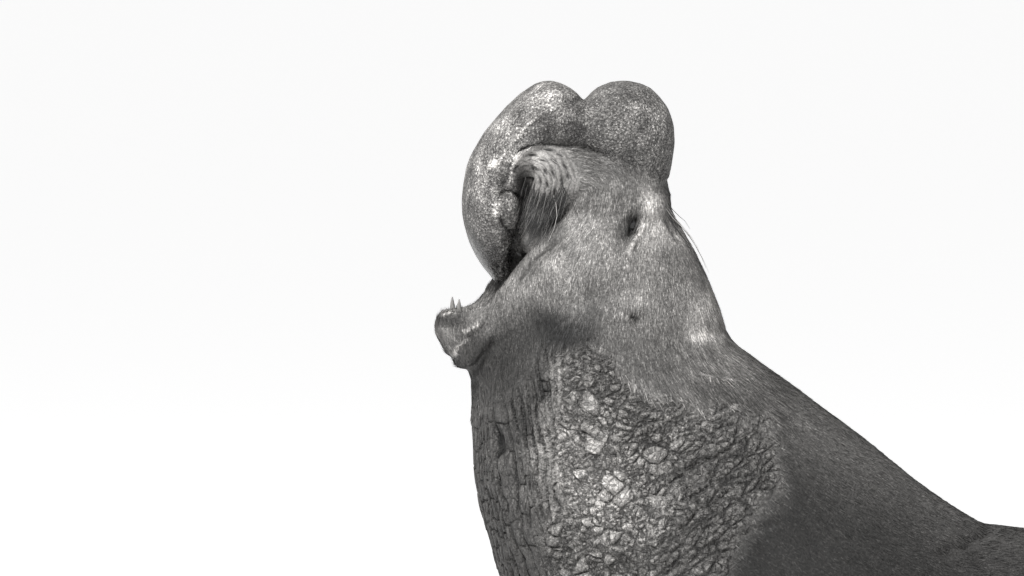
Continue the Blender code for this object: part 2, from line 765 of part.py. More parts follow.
def add_openings(pieces, cutters, tree):
    """The ear holes and the nostrils, as small pits on both sides."""
    for side in (-1, 1):
        ear = surface_point(tree, EAR_SPOT)
        ear.y *= side
        boolean(pieces["head"], ellipsoid("ear_pit", ear, EAR_RADII, cutters, segments=16), "DIFFERENCE")
        nostril = Vector((NOSTRIL_SPOT.x, NOSTRIL_SPOT.y * side, NOSTRIL_SPOT.z))
        pit_form = ellipsoid("nostril", nostril, NOSTRIL_RADII, cutters, segments=16)
        boolean(pieces["proboscis_front_lobe"], pit_form, "DIFFERENCE")


def cone(name, root, tip, radius, tip_radius, collection, sides=12):
    """A blunt cone from a root towards a tip."""
    axis = Vector(tip) - Vector(root)
    turn = axis.to_track_quat("Z", "Y").to_matrix().to_4x4()
    place = Matrix.Translation(Vector(root) + axis / 2) @ turn
    bm = bmesh.new()
    bmesh.ops.create_cone(
        bm,
        cap_ends=True,
        segments=sides,
        radius1=radius,
        radius2=tip_radius,
        depth=axis.length,
        matrix=place,
    )
    mesh = bpy.data.meshes.new(name)
    bm.to_mesh(mesh)
    bm.free()
    return object_from(name, mesh, collection)


def grown_rows(rows, by):
    """Profile rows of a form that is thicker all round by a given amount."""
    grown = []
    for top_x, top_z, low_x, low_z, half_width in rows:
        axis = Vector((top_x - low_x, top_z - low_z)).normalized() * by
        grown.append((top_x + axis.x, top_z + axis.y, low_x - axis.x, low_z - axis.y, half_width + by))
    return grown


def add_mouth_pieces(pieces, parts, cutters):
    """The tongue and the lower canines, each let into the jaw with a thin gap."""
    tongue_seat = profile_loft("tongue_seat", grown_rows(TONGUE, GAP), cutters, steps=2, sides=18)
    boolean(pieces["lower_jaw"], tongue_seat, "DIFFERENCE")
    tongue = profile_loft("tongue", TONGUE, parts, steps=2, sides=18)
    tongue.data.materials.append(material("tongue"))
    for side, name in ((-1, "canine_left"), (1, "canine_right")):
        root = Vector((CANINE_ROOT.x, CANINE_ROOT.y * side, CANINE_ROOT.z))
        tip = Vector((CANINE_TIP.x, CANINE_TIP.y * side, CANINE_TIP.z))
        below = (root - tip).normalized() * GAP
        seat = cone(f"{name}_seat", root + below, tip, CANINE_RADIUS + GAP, 0.002 + GAP, cutters)
        boolean(pieces["lower_jaw"], seat, "DIFFERENCE")
        canine = cone(name, root, tip, CANINE_RADIUS, 0.002, parts)
        canine.data.materials.append(material("tooth"))


def add_nails(pieces, cutters):
    """Fuses a nail with the end of every digit."""
    for limb, tips in (("foreflipper", FINGERS), ("hindflipper", TOES)):
        root = FINGER_ROOT if limb == "foreflipper" else TOE_ROOT
        for side_name, side in (("left", -1), ("right", 1)):
            nails = []
            for x, y, _ in tips:
                heading = (Vector((x, y)) - root.to_2d()).normalized()
                start = Vector((x, y)) - heading * NAIL_LENGTH * 0.75
                end = Vector((x, y)) + heading * NAIL_LENGTH * 0.35
                first = Vector((start.x, start.y * side, 0.021))
                last = Vector((end.x, end.y * side, 0.006))
                for point in (first, last):
                    share = max((point.x - SWING_START) / (SWING_END - SWING_START), 0)
                    point.y -= TAIL_SWING * share**2
                nails.append(cone("nail", first, last, NAIL_RADIUS, 0.003, cutters, sides=8))
            all_nails = joined(f"nails_{limb}_{side_name}", nails, cutters)
            boolean(pieces[f"{limb}_{side_name}"], all_nails, "UNION")


def centre_on_origin(parts, cutters):
    """Moves everything so that the origin is on the floor under the middle of the animal."""
    corners = [vertex.co for obj in parts.objects for vertex in obj.data.vertices]
    low = Vector(map(min, zip(*corners)))
    high = Vector(map(max, zip(*corners)))
    shift = Matrix.Translation((-(low.x + high.x) / 2, -(low.y + high.y) / 2, -low.z))
    for obj in list(parts.objects) + list(cutters.objects):
        obj.data.transform(shift)


def main():
    clear_scene()
    parts = new_collection("elephant_seal")
    cutters = new_collection("cutters")
    animal = model_animal(parts, cutters)
    tree = surface_tree(animal.data)
    pieces = part_animal(animal, parts, cutters)
    add_eyes(pieces, parts, cutters, tree)
    add_openings(pieces, cutters, tree)
    add_mouth_pieces(pieces, parts, cutters)
    add_nails(pieces, cutters)
    centre_on_origin(parts, cutters)


main()
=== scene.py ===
"""The looks of a bull elephant seal, as a still model at life size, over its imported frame.

Units are metres in the frame's own axes: the animal faces -X, its left side is -Y, +Z is up and the floor is at Z = 0.
Marks on the head and chest are placed by where they show in the photograph's 1024 by 576 pixels, and the right side
mirrors the left.
"""

import math
from contextlib import contextmanager

import bmesh
import bpy
import numpy as np
from bpy.props import FloatProperty, FloatVectorProperty, IntProperty, PointerProperty
from mathutils import Matrix, Vector
from mathutils.bvhtree import BVHTree


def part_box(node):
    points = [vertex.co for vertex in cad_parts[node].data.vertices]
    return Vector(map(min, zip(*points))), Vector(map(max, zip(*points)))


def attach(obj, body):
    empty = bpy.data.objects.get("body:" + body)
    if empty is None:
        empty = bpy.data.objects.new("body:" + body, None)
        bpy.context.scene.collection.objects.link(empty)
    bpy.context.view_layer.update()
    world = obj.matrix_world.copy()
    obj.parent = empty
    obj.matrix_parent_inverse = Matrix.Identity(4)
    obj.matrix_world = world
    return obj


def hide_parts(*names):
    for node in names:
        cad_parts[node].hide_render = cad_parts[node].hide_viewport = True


bl_info = {
    "name": "Elephant seal model",
    "version": (1, 0, 0),
    "blender": (4, 5, 0),
    "location": "3D View > Sidebar > Seal",
    "description": "Dresses the frame of a life-size elephant seal with skin, coat, whiskers, eyes and teeth",
    "category": "Object",
}

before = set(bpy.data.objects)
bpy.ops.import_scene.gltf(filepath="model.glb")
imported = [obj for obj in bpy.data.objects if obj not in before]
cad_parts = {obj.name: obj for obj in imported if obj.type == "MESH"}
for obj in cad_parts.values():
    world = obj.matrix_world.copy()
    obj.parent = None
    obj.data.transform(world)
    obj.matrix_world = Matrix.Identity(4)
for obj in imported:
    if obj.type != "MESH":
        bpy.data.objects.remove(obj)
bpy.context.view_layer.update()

FLESH = (
    "head", "proboscis_rear_lobe", "proboscis_front_lobe", "lower_jaw", "neck", "chest", "trunk", "hindquarters",
    "tail", "foreflipper_left", "foreflipper_right", "hindflipper_left", "hindflipper_right",
)
EYES = ("eye_left", "eye_right")

# The photograph's camera
PHOTO_WIDTH = 1024
PHOTO_HEIGHT = 576
PIXEL = 0.00225
CAMERA_TURN = math.radians(-8)
CAMERA_RISE = math.radians(2.5)
CAMERA_DISTANCE = 24.0
SENSOR = 36.0
EYE_PIXEL = (632, 225)


def camera_frame():
    """The camera's place and its right, up and backward directions, from where the eye shows."""
    turn, rise = CAMERA_TURN, CAMERA_RISE
    back = Vector((math.sin(turn) * math.cos(rise), -math.cos(turn) * math.cos(rise), math.sin(rise)))
    facing = (-back).to_track_quat("-Z", "Y")
    right = facing @ Vector((1, 0, 0))
    up = facing @ Vector((0, 1, 0))
    low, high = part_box("eye_left")
    across = (EYE_PIXEL[0] - PHOTO_WIDTH / 2) * PIXEL
    above = (PHOTO_HEIGHT / 2 - EYE_PIXEL[1]) * PIXEL
    place = (low + high) / 2 - right * across - up * above + back * CAMERA_DISTANCE
    return place, right, up, back


CAMERA_PLACE, CAMERA_RIGHT, CAMERA_UP, CAMERA_BACK = camera_frame()


def on_photo(points):
    """Where points show in the photograph, in pixels, with the right side folded onto the left."""
    folded = points * (1, 0, 1) - np.abs(points) * (0, 1, 0)
    away = folded - np.array(CAMERA_PLACE)
    depth = -(away @ np.array(CAMERA_BACK))
    scale = CAMERA_DISTANCE / PIXEL / depth
    u = PHOTO_WIDTH / 2 + (away @ np.array(CAMERA_RIGHT)) * scale
    v = PHOTO_HEIGHT / 2 - (away @ np.array(CAMERA_UP)) * scale
    return np.stack([u, v], axis=1)


def ramp(low, high, value):
    """0 below low, 1 above high and a smooth step between. With low above high it falls."""
    share = np.clip((value - low) / (high - low), 0, 1)
    return share * share * (3 - 2 * share)


def bell(distance, width=1.0):
    """1 at no distance, falling away smoothly over the width."""
    return np.exp(-((distance / width) ** 2))


def read_all(items, key, wide, kind=np.float32):
    """One row of numbers for each item."""
    values = np.empty(len(items) * wide, kind)
    items.foreach_get(key, values)
    return values.reshape(-1, wide)


def points_of(mesh):
    return read_all(mesh.vertices, "co", 3).astype(float)


def store_points(mesh, points):
    mesh.vertices.foreach_set("co", points.astype(np.float32).ravel())
    mesh.update()


@contextmanager
def editing(mesh):
    """The mesh opened in bmesh. What is done to it there is written back at the end."""
    bm = bmesh.new()
    bm.from_mesh(mesh)
    yield bm
    bm.to_mesh(mesh)
    bm.free()


def dress(mesh, mat):
    """Gives a mesh its one material and smooth shading."""
    mesh.materials.clear()
    mesh.materials.append(mat)
    mesh.polygons.foreach_set("use_smooth", np.ones(len(mesh.polygons), bool))


def store_value(mesh, name, values):
    """Keeps one number for each point of the mesh, for a material to read."""
    attribute = mesh.attributes.get(name) or mesh.attributes.new(name, "FLOAT", "POINT")
    attribute.data.foreach_set("value", values.astype(np.float32))


def add_object(name, mesh):
    obj = bpy.data.objects.new(name, mesh)
    bpy.context.scene.collection.objects.link(obj)
    return obj


def settle(obj):
    """Replaces the object's mesh by what its modifiers make of it."""
    graph = bpy.context.evaluated_depsgraph_get()
    mesh = bpy.data.meshes.new_from_object(obj.evaluated_get(graph))
    obj.modifiers.clear()
    obj.data = mesh


# Large numbers that scatter a lattice cell's place and seed over all bits
SCATTER = (374761393, 668265263, 1442695041, 974634777)
SCATTER_AGAIN = ((13, 1274126177), (15, 2246822519))
ALL_BITS = 0xFFFFFFFF
USED_BITS = 0xFFFFFF


def dice(cell, seed):
    """A steady random number from 0 to 1 for each whole-number cell of a lattice."""
    mixed = seed * SCATTER[3] + sum(cell[:, axis] * SCATTER[axis] for axis in range(3)) & ALL_BITS
    for shift, factor in SCATTER_AGAIN:
        mixed = (mixed ^ (mixed >> shift)) * factor & ALL_BITS
    return ((mixed ^ (mixed >> 16)) & USED_BITS) / USED_BITS


def billow(points, size, seed):
    """Soft noise from -1 to 1 whose lumps are about size metres across."""
    scaled = points / size
    base = np.floor(scaled).astype(np.int64)
    part = scaled - base
    part = part * part * (3 - 2 * part)
    total = np.zeros(len(points))
    for corner in np.ndindex(2, 2, 2):
        weight = np.prod(np.where(corner, part, 1 - part), axis=1)
        total += weight * dice(base + corner, seed)
    return total * 2 - 1


def cobbles(points, size, seed):
    """Cells like cobbles: how far each point is inside its cell's border, and the cell's own random number."""
    scaled = points / size
    base = np.floor(scaled).astype(np.int64)
    first = second = np.full(len(points), np.inf)
    owner = np.zeros(len(points))
    for step in np.ndindex(3, 3, 3):
        cell = base + np.array(step) - 1
        heart = cell + np.stack([dice(cell, seed + axis) for axis in range(3)], axis=1)
        gap = np.linalg.norm(heart - scaled, axis=1)
        nearer = gap < first
        second = np.where(nearer, first, np.minimum(second, gap))
        owner = np.where(nearer, dice(cell, seed + 7), owner)
        first = np.where(nearer, gap, first)
    return second - first, owner


def shares_of(path):
    """How far along a path each of its points lies, from 0 to 1."""
    lengths = np.linalg.norm(np.diff(path, axis=0), axis=1)
    return np.concatenate([[0], np.cumsum(lengths)]) / lengths.sum()


def along_path(spots, path):
    """Each spot's distance to a line of points, and how far along it from 0 to 1."""
    path = np.array(path, float)
    done = shares_of(path)
    best = np.full(len(spots), np.inf)
    share_of_best = np.zeros(len(spots))
    for i, (start, end) in enumerate(zip(path, path[1:])):
        span = end - start
        share = np.clip((spots - start) @ span / (span @ span), 0, 1)
        gap = np.linalg.norm(spots - start - share[:, None] * span, axis=1)
        nearer = gap < best
        best = np.where(nearer, gap, best)
        share_of_best = np.where(nearer, done[i] + share * (done[i + 1] - done[i]), share_of_best)
    return best, share_of_best


def inside_outline(spots, outline):
    """How far each spot lies inside a closed outline in the photograph, in pixels, and negative outside it."""
    outline = np.array(outline, float)
    crossings = np.zeros(len(spots), int)
    for (u0, v0), (u1, v1) in zip(outline, np.roll(outline, -1, axis=0)):
        if v0 == v1:
            continue
        crosses = (spots[:, 1] > min(v0, v1)) & (spots[:, 1] <= max(v0, v1))
        at_u = u0 + (spots[:, 1] - v0) * (u1 - u0) / (v1 - v0)
        crossings += crosses & (spots[:, 0] < at_u)
    distance, _ = along_path(spots, np.vstack([outline, outline[:1]]))
    return np.where(crossings % 2 == 1, distance, -distance)


def relax(points, edges, factor, rounds):
    """Evens the surface out: each point moves towards the mean of its neighbours, and out again to keep its size."""
    both = np.concatenate([edges[:, 0], edges[:, 1]])
    other = np.concatenate([edges[:, 1], edges[:, 0]])
    count = np.bincount(both, minlength=len(points))[:, None]
    for turn in range(rounds):
        mean = np.stack([np.bincount(both, points[other, i], len(points)) for i in range(3)], axis=1) / count
        sign = -STEP_OUT if turn % 2 else 1.0
        points = points + (mean - points) * (factor * sign)[:, None]
    return points


# The ends of the foreflippers' digits and the point they spread from: x and distance from the middle plane
CLAW_ROOT = (-1.4707, 0.600)
CLAW_TIPS = ((-1.6407, 0.858), (-1.5747, 0.890), (-1.5047, 0.900), (-1.4367, 0.884), (-1.3747, 0.842))

# How finely the skin is modelled, how often its rear and its front are evened out, and the share of each step back out
SKIN_VOXEL = 0.006
REAR_TRIANGLES = 46000
SKIN_TRIANGLES = 188000
REAR_ROUNDS = 300
FRONT_ROUNDS = 8
STEP_OUT = 1.04
# How far the finest skin reaches past the outlines of face and shield, and round the eye, in pixels
FINE_MARGIN = 6
FINE_ROUND_EYE = (24, 28)

# The two ends of soft steps between parts of the animal: distance from its middle plane, x or height, in metres
FORE_EDGE = (0.50, 0.58)
HIND_EDGE = (1.50, 1.62)
REAR_EDGE = (-1.25, -0.60)
SLENDER_EDGE = (1.75, 1.10)
FRONT_EDGE = (-0.60, -1.10)
FINE_EDGE = (-0.95, -1.20)
FOLDED_EDGE = (-1.3, -0.9)
HEAD_EDGE = (-0.60, -0.95)
FLANK_EDGE = (0.2, -0.8)
BELLY_EDGE = (-1.2, -0.7)
BELLY_TOP = (0.45, 0.10)
FUR_FOOT = (0.006, 0.03)

# Where the head's own forms show in the photograph, in pixels
EYE_SLIT = (632, 227)
EYE_HALF = (2.4, 10.0)
EYE_LEAN = math.radians(-24)
EYE_REACH = 30
LID_THICKNESS = 0.0035
EYE_SUNK = 0.007
# The rim of the lids and the hollow round it: where, in half sizes of the slit, half width and height in metres
LID_RIM = (1.45, 0.30, 0.0016)
LID_HOLLOW = (2.3, 0.4, -0.0020)
# How far from the middle plane the cheeks begin, in metres
CHEEK_START = 0.08
FACE_OUTLINE = ((440, 330), (455, 250), (450, 60), (690, 60), (690, 200), (730, 320), (640, 350), (500, 380))
SHIELD_OUTLINE = (
    (440, 440), (470, 424), (496, 404), (518, 378), (536, 350), (560, 336), (590, 338), (612, 352), (634, 374),
    (664, 394), (700, 402), (738, 406), (768, 420), (784, 446), (780, 480), (762, 512), (740, 546), (718, 580),
    (690, 640), (640, 700), (560, 740), (470, 700), (410, 580),
)

# The shield in pixels: how its border fades, and how its throat and its slanting folds begin
SHIELD_FADE = (-12, 16)
THROAT_FADE = (580, 512)
SLANT_FADE = (690, 742)
# Where the back begins: a spot in pixels, the direction across the border, and how the border fades
BACK_SPOT = (690, 388)
BACK_WAY = (0.45, 0.89)
BACK_FADE = (-20, 30)

# Soft forms that the skin adds to the nodes on both sides: middle, half sizes, lean in degrees
ADDED_FLESH = {
    "upper_lip": ((-1.850, 0.078, 1.592), (0.030, 0.034, 0.078), 14),
    "lip_behind_trunk": ((-1.862, 0.040, 1.575), (0.026, 0.040, 0.060), 18),
}

# Grooves and ridges that follow a line: points, half width and height in metres, share of the length that fades out
LINES = {
    "crease_over_pad": (((506, 168), (513, 157), (521, 150), (531, 146), (546, 144), (562, 145), (578, 146),
                         (592, 150), (604, 156), (614, 163)), 0.0034, -0.0070, 0.25),
    "hollow_over_crease": (((528, 140), (545, 136), (565, 135), (585, 139), (604, 147)), 0.0240, -0.0060, 0.30),
    "cleft_by_trunk": (((526, 177), (526, 188), (524, 200), (522, 214), (519, 232), (513, 252), (504, 274)), 0.0055,
                       -0.0140, 0.04),
    "trunk_wrinkle_high": (((499, 195), (505, 191), (512, 191), (518, 195), (524, 199)), 0.0045, -0.0080, 0.10),
    "trunk_wrinkle_mid": (((499, 193), (503, 180), (509, 168)), 0.0035, -0.0045, 0.30),
    "trunk_wrinkle_low": (((500, 218), (504, 226), (509, 231), (516, 230)), 0.0045, -0.0070, 0.20),
    "trunk_wrinkle_end": (((499, 205), (501, 216), (505, 226)), 0.0040, -0.0040, 0.30),
    "ridge_of_trunk": (((572, 103), (556, 107), (541, 114), (528, 124), (515, 139), (505, 152), (497, 165),
                        (492, 182)), 0.0036, 0.0032, 0.10),
    "groove_by_ridge": (((566, 112), (548, 117), (534, 126), (521, 141), (510, 155), (502, 168)), 0.0060,
                        -0.0036, 0.15),
    "lip_line": (((580, 190), (567, 207), (556, 220), (543, 235), (528, 246), (516, 260), (505, 275)), 0.0080,
                 -0.0050, 0.15),
    "lip_roll": (((590, 206), (572, 224), (555, 240), (537, 254), (521, 271), (505, 290), (486, 303)), 0.0140,
                 0.0055, 0.15),
    "fold_below_lip": (((566, 240), (550, 250), (537, 259), (529, 272), (520, 285)), 0.0055, -0.0065, 0.25),
    "lip_edge_of_chin": (((438, 322), (446, 318), (456, 316), (467, 311), (478, 303), (492, 295)), 0.0045, 0.0050,
                         0.12),
    "crease_of_chin": (((440, 331), (452, 326), (466, 321), (480, 311), (492, 304)), 0.0050, -0.0060, 0.15),
    "fold_of_chin": (((448, 354), (460, 346), (470, 336), (481, 329), (490, 318)), 0.0060, -0.0075, 0.15),
    "fold_of_jaw": (((462, 384), (474, 370), (484, 357), (491, 346), (497, 336)), 0.0080, -0.0100, 0.15),
    "roll_of_jaw": (((456, 368), (470, 355), (482, 341), (492, 330)), 0.0100, 0.0050, 0.25),
    "brow_line_a": (((660, 210), (663, 220), (668, 229), (674, 238)), 0.0028, -0.0034, 0.20),
    "brow_line_b": (((663, 207), (667, 218), (673, 228), (678, 239)), 0.0028, -0.0030, 0.20),
    "brow_line_c": (((653, 214), (657, 224), (661, 232)), 0.0028, -0.0022, 0.20),
    "brow_line_d": (((669, 208), (674, 218), (680, 230)), 0.0028, -0.0022, 0.20),
    "forehead_notch": (((672, 178), (666, 186), (660, 190), (650, 189)), 0.0090, -0.0060, 0.20),
    "fold_behind_eye": (((644, 222), (639, 233), (633, 243), (628, 253)), 0.0050, 0.0050, 0.25),
    "under_fold": (((648, 226), (643, 237), (637, 247), (632, 258)), 0.0060, -0.0030, 0.30),
    "brow_of_eye": (((620, 224), (624, 214), (630, 206), (637, 203)), 0.0070, 0.0040, 0.30),
    "scar_of_neck": (((694, 372), (708, 377), (722, 379), (746, 383)), 0.0040, 0.0040, 0.25),
    "scar_of_shoulder": (((700, 421), (714, 418), (728, 411), (740, 404)), 0.0040, 0.0035, 0.30),
    "scar_of_shield": (((566, 436), (580, 430), (592, 424), (606, 414)), 0.0045, 0.0050, 0.20),
    "crack_long": (((614, 412), (616, 440), (617, 470), (615, 502), (617, 530), (619, 560)), 0.0040, -0.0050, 0.20),
    "crack_low": (((640, 506), (668, 484), (700, 462), (734, 446), (758, 430)), 0.0050, -0.0060, 0.25),
    "crack_mid": (((634, 560), (668, 538), (700, 512), (728, 492), (752, 478)), 0.0055, -0.0060, 0.25),
    "crack_end": (((640, 590), (680, 566), (720, 544), (760, 528), (790, 518)), 0.0070, -0.0060, 0.25),
    "fold_of_back": (((1000, 522), (984, 534), (962, 546), (934, 556)), 0.0120, -0.0120, 0.15),
}
# Round swellings and pits: u, v, half width and half height in pixels, turn in degrees, height in metres
SPOTS = {
    "pit_behind_trunk": (528, 177, 4.5, 12, -8, -0.0180),
    "lump_on_trunk": (512, 210, 9, 14, 8, 0.0090),
    "dent_of_nose": (616, 106, 10, 7, 0, -0.0040),
    "pucker_left": (568, 99, 3.5, 3.5, 0, -0.0080),
    "pucker_right": (576, 101, 4, 3.5, 0, -0.0080),
    "ear": (635, 317, 4.2, 3.2, 0, -0.0120),
    "ear_rim": (622, 313, 9, 5, 20, 0.0030),
    "dimple": (664, 252, 9, 9, 0, -0.0040),
    "eye_patch": (652, 202, 14, 17, -20, 0.0050),
    "cheekbone": (610, 250, 26, 22, 0, 0.0040),
    "great_nodule": (625, 553, 9, 5.5, 0, 0.0110),
    "nodule_by_it": (640, 562, 6, 5, 0, 0.0070),
    "nodule_high": (650, 396, 3.5, 3.5, 0, 0.0040),
    "nostril": (498, 268, 3, 5, 20, -0.0060),
}
# The whisker pad: middle, half sizes, and the point that its wrinkles run round, in pixels
PAD_MIDDLE = (547, 178)
PAD_HALF = (34, 35)
PAD_HUB = (528, 183)
PAD_WAVE = 5.9
# The height of its wrinkles and the depth of its whiskers' slots in metres, and the slots' half width in pixels
PAD_WRINKLE = 0.0024
SLOT_DEPTH = 0.0040
SLOT_HALF = 1.45
# The dark slots that its whiskers grow from: u, v, turn in degrees, length in pixels
FOLLICLES = (
    (510, 165, 50, 6), (504, 182, 60, 9), (517, 167, 50, 7), (524, 149, 35, 8), (548, 150, -10, 9),
    (554, 161, -35, 8), (542, 160, -15, 8), (565, 166, -62, 9), (545, 171, -60, 8), (553, 173, -65, 8),
    (540, 180, -70, 7), (547, 184, -70, 8), (562, 180, -88, 9), (555, 192, -90, 9), (540, 195, -70, 6),
    (545, 199, -75, 6), (535, 169, -20, 9), (560, 155, -30, 7), (533, 155, 5, 8), (568, 176, -80, 7),
)


# The columns of the throat, in metres: how far from its middle line, where that is by height, and how wide
THROAT_RADIUS = 0.42
THROAT_MIDDLE = ((0.30, 0.90, 1.30), (-1.20, -1.45, -1.62))
COLUMN_WIDTH = 0.025
# The shield, in metres: the domes of the throat's, the middle's and the slanting plates, how far inside a plate counts,
# the domes' edge, and the cracks' half width and depth
DOMES = (0.0080, 0.0080, 0.0066)
PLATE_REACH = 0.010
DOME_EDGE = 0.0042
CRACK_HALF = 0.0020
CRACK_DEPTH = 0.0044


def pixel_gap(spots, place, half, turn=0.0):
    """How far each spot is from a place, in units of an oval's half sizes, and 1 on its rim."""
    shift = spots - np.array(place[:2])
    cosine, sine = math.cos(turn), math.sin(turn)
    along = (shift[:, 0] * cosine - shift[:, 1] * sine) / half[0]
    across = (shift[:, 0] * sine + shift[:, 1] * cosine) / half[1]
    return np.hypot(along, across)


def ovals(spots, table):
    """The sum at each spot of soft ovals: u, v, half width, half height, turn in degrees, and the oval's amount."""
    total = np.zeros(len(spots))
    for u, v, half_u, half_v, turn, amount in table.values():
        total += amount * bell(pixel_gap(spots, (u, v), (half_u, half_v), math.radians(turn)))
    return total


def remesh(obj, voxel):
    """A modifier that makes one closed surface of all that the object holds."""
    modifier = obj.modifiers.new("close", "REMESH")
    modifier.mode = "VOXEL"
    modifier.voxel_size = voxel


def close_flesh():
    """One closed surface over all nodes of flesh, with the eyeballs filling their sockets."""
    mesh = bpy.data.meshes.new("seal_skin")
    with editing(mesh) as bm:
        for name in FLESH + EYES:
            bm.from_mesh(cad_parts[name].data)
        bmesh.ops.remove_doubles(bm, verts=bm.verts, dist=1e-5)
        for (x, y, z), half, lean in ADDED_FLESH.values():
            for side in (-1, 1):
                place = Matrix.Translation((x, y * side, z)) @ Matrix.Rotation(math.radians(lean), 4, "Y")
                shape = place @ Matrix.Diagonal((*half, 1.0))
                bmesh.ops.create_uvsphere(bm, u_segments=24, v_segments=16, radius=1.0, matrix=shape)
    obj = add_object("seal_skin", mesh)
    remesh(obj, SKIN_VOXEL)
    settle(obj)
    return obj


def limb_share(points):
    """1 on the flippers, 0 on the body."""
    fore = ramp(*FORE_EDGE, np.abs(points[:, 1])) * (points[:, 0] < -1.0)
    return np.maximum(fore, ramp(*HIND_EDGE, points[:, 0]))


def set_group(obj, name, weights, levels=8):
    """A vertex group with weights rounded to a few levels."""
    group = obj.vertex_groups.new(name=name)
    steps = np.round(weights * levels)
    for level in range(1, levels + 1):
        chosen = np.flatnonzero(steps == level)
        if len(chosen):
            group.add(chosen.tolist(), level / levels, "REPLACE")
    return group.name


def soften_rear(obj):
    """Takes the facets out of the large plain forms of the rear."""
    points = points_of(obj.data)
    rear = ramp(*REAR_EDGE, points[:, 0] + 0.25 * (points[:, 2] - 0.6)) * (1 - limb_share(points))
    slender = ramp(*SLENDER_EDGE, points[:, 0])
    smooth = obj.modifiers.new("soften", "SMOOTH")
    smooth.factor = 0.5
    smooth.iterations = REAR_ROUNDS
    smooth.vertex_group = set_group(obj, "rear", rear * (0.25 + 0.75 * slender))
    settle(obj)
    obj.vertex_groups.clear()


def soften_front(obj):
    """Evens out the facets of the head, the chest and the flippers, and keeps their size."""
    points = points_of(obj.data)
    front = ramp(*FRONT_EDGE, points[:, 0])
    factor = np.maximum(front, limb_share(points)) * 0.5
    edges = read_all(obj.data.edges, "vertices", 2, np.int32)
    store_points(obj.data, relax(points, edges, factor, FRONT_ROUNDS))


def thin_out(obj, target, weights):
    """Collapses the weighted part of the surface until the mesh has the target number of triangles."""
    triangulate = obj.modifiers.new("triangles", "TRIANGULATE")
    triangulate.quad_method = "SHORTEST_DIAGONAL"
    settle(obj)
    total = len(obj.data.polygons)
    if total <= target:
        return
    collapse = obj.modifiers.new("thin", "DECIMATE")
    collapse.ratio = target / total
    if weights is not None:
        collapse.vertex_group = set_group(obj, "thin", weights)
        collapse.vertex_group_factor = 1.0
    settle(obj)
    obj.vertex_groups.clear()


def refine(obj, chosen):
    """Splits the edges between chosen points, so that each face there becomes four."""
    with editing(obj.data) as bm:
        edges = [edge for edge in bm.edges if chosen[edge.verts[0].index] and chosen[edge.verts[1].index]]
        bmesh.ops.subdivide_edges(bm, edges=edges, cuts=1, use_grid_fill=True)
        bmesh.ops.triangulate(bm, faces=[face for face in bm.faces if len(face.verts) > 4])


def keep_largest(mesh):
    """Drops the loose scraps beside the main surface."""
    with editing(mesh) as bm:
        left = set(bm.verts)
        largest = set()
        while len(left) > len(largest):
            front = [next(iter(left))]
            found = set(front)
            while front:
                vert = front.pop()
                for edge in vert.link_edges:
                    other = edge.other_vert(vert)
                    if other not in found:
                        found.add(other)
                        front.append(other)
            left -= found
            largest = max(largest, found, key=len)
        bmesh.ops.delete(bm, geom=[vert for vert in bm.verts if vert not in largest], context="VERTS")


def shield_zones(points, spots):
    """How far each point belongs to the shield, and to its throat, its cobbled middle and its slanting folds."""
    ragged = 13 * billow(points, 0.11, 81) + 8 * billow(points, 0.035, 83)
    shield = ramp(*SHIELD_FADE, inside_outline(spots, SHIELD_OUTLINE) + ragged)
    throat = ramp(*THROAT_FADE, spots[:, 0] + 0.10 * (spots[:, 1] - 480) + 2.0 * ragged)
    slant = ramp(*SLANT_FADE, spots[:, 0] + 0.38 * (spots[:, 1] - 400) + 1.4 * ragged) * (1 - throat)
    return shield, shield * throat, shield * (1 - throat) * (1 - slant), shield * slant


def throat_columns(points, seed=61):
    """Where each point lies across the columns that run down the throat, counted in columns."""
    middle = np.interp(points[:, 2], THROAT_MIDDLE[0], THROAT_MIDDLE[1])
    turn = np.arctan2(points[:, 1], middle - points[:, 0]) * THROAT_RADIUS
    lanes = np.stack([turn, 0.2 * points[:, 2], 0 * turn], axis=1)
    sway = billow(points * (1, 1, 0.45), 0.10, seed) * 0.020 + billow(points, 0.030, seed + 1) * 0.0065
    return (turn + sway + billow(lanes, 0.045, seed + 8) * 0.012) / COLUMN_WIDTH


def throat_plates(points, seed=61):
    """Columns down the throat, broken by short cross cracks: metres inside the nearest crack, and a random number."""
    across = throat_columns(points)
    column = np.floor(across).astype(np.int64)
    none = np.zeros_like(column)
    lane = np.stack([column, none, none], axis=1)
    tall = 0.022 + 0.062 * dice(lane, seed + 2)
    along = (points[:, 2] + 0.009 * billow(points, 0.03, seed + 4)) / tall + 9 * dice(lane, seed + 3)
    row = np.floor(along).astype(np.int64)
    own = dice(np.stack([column, row, none], axis=1), seed + 5)
    side_gap = (0.5 - np.abs(across - column - 0.5)) * COLUMN_WIDTH
    end_gap = (0.5 - np.abs(along - row - 0.5)) * tall
    worn = 0.0016 * ramp(-0.2, 0.6, billow(points, 0.05, seed + 6))
    return np.minimum(side_gap + worn, end_gap * 1.3 + 0.0050 * own), 0.3 + 0.4 * own


def warp(points, size, seed):
    """Soft noise in all three directions."""
    return np.stack([billow(points, size, seed + axis) for axis in range(3)], axis=1)


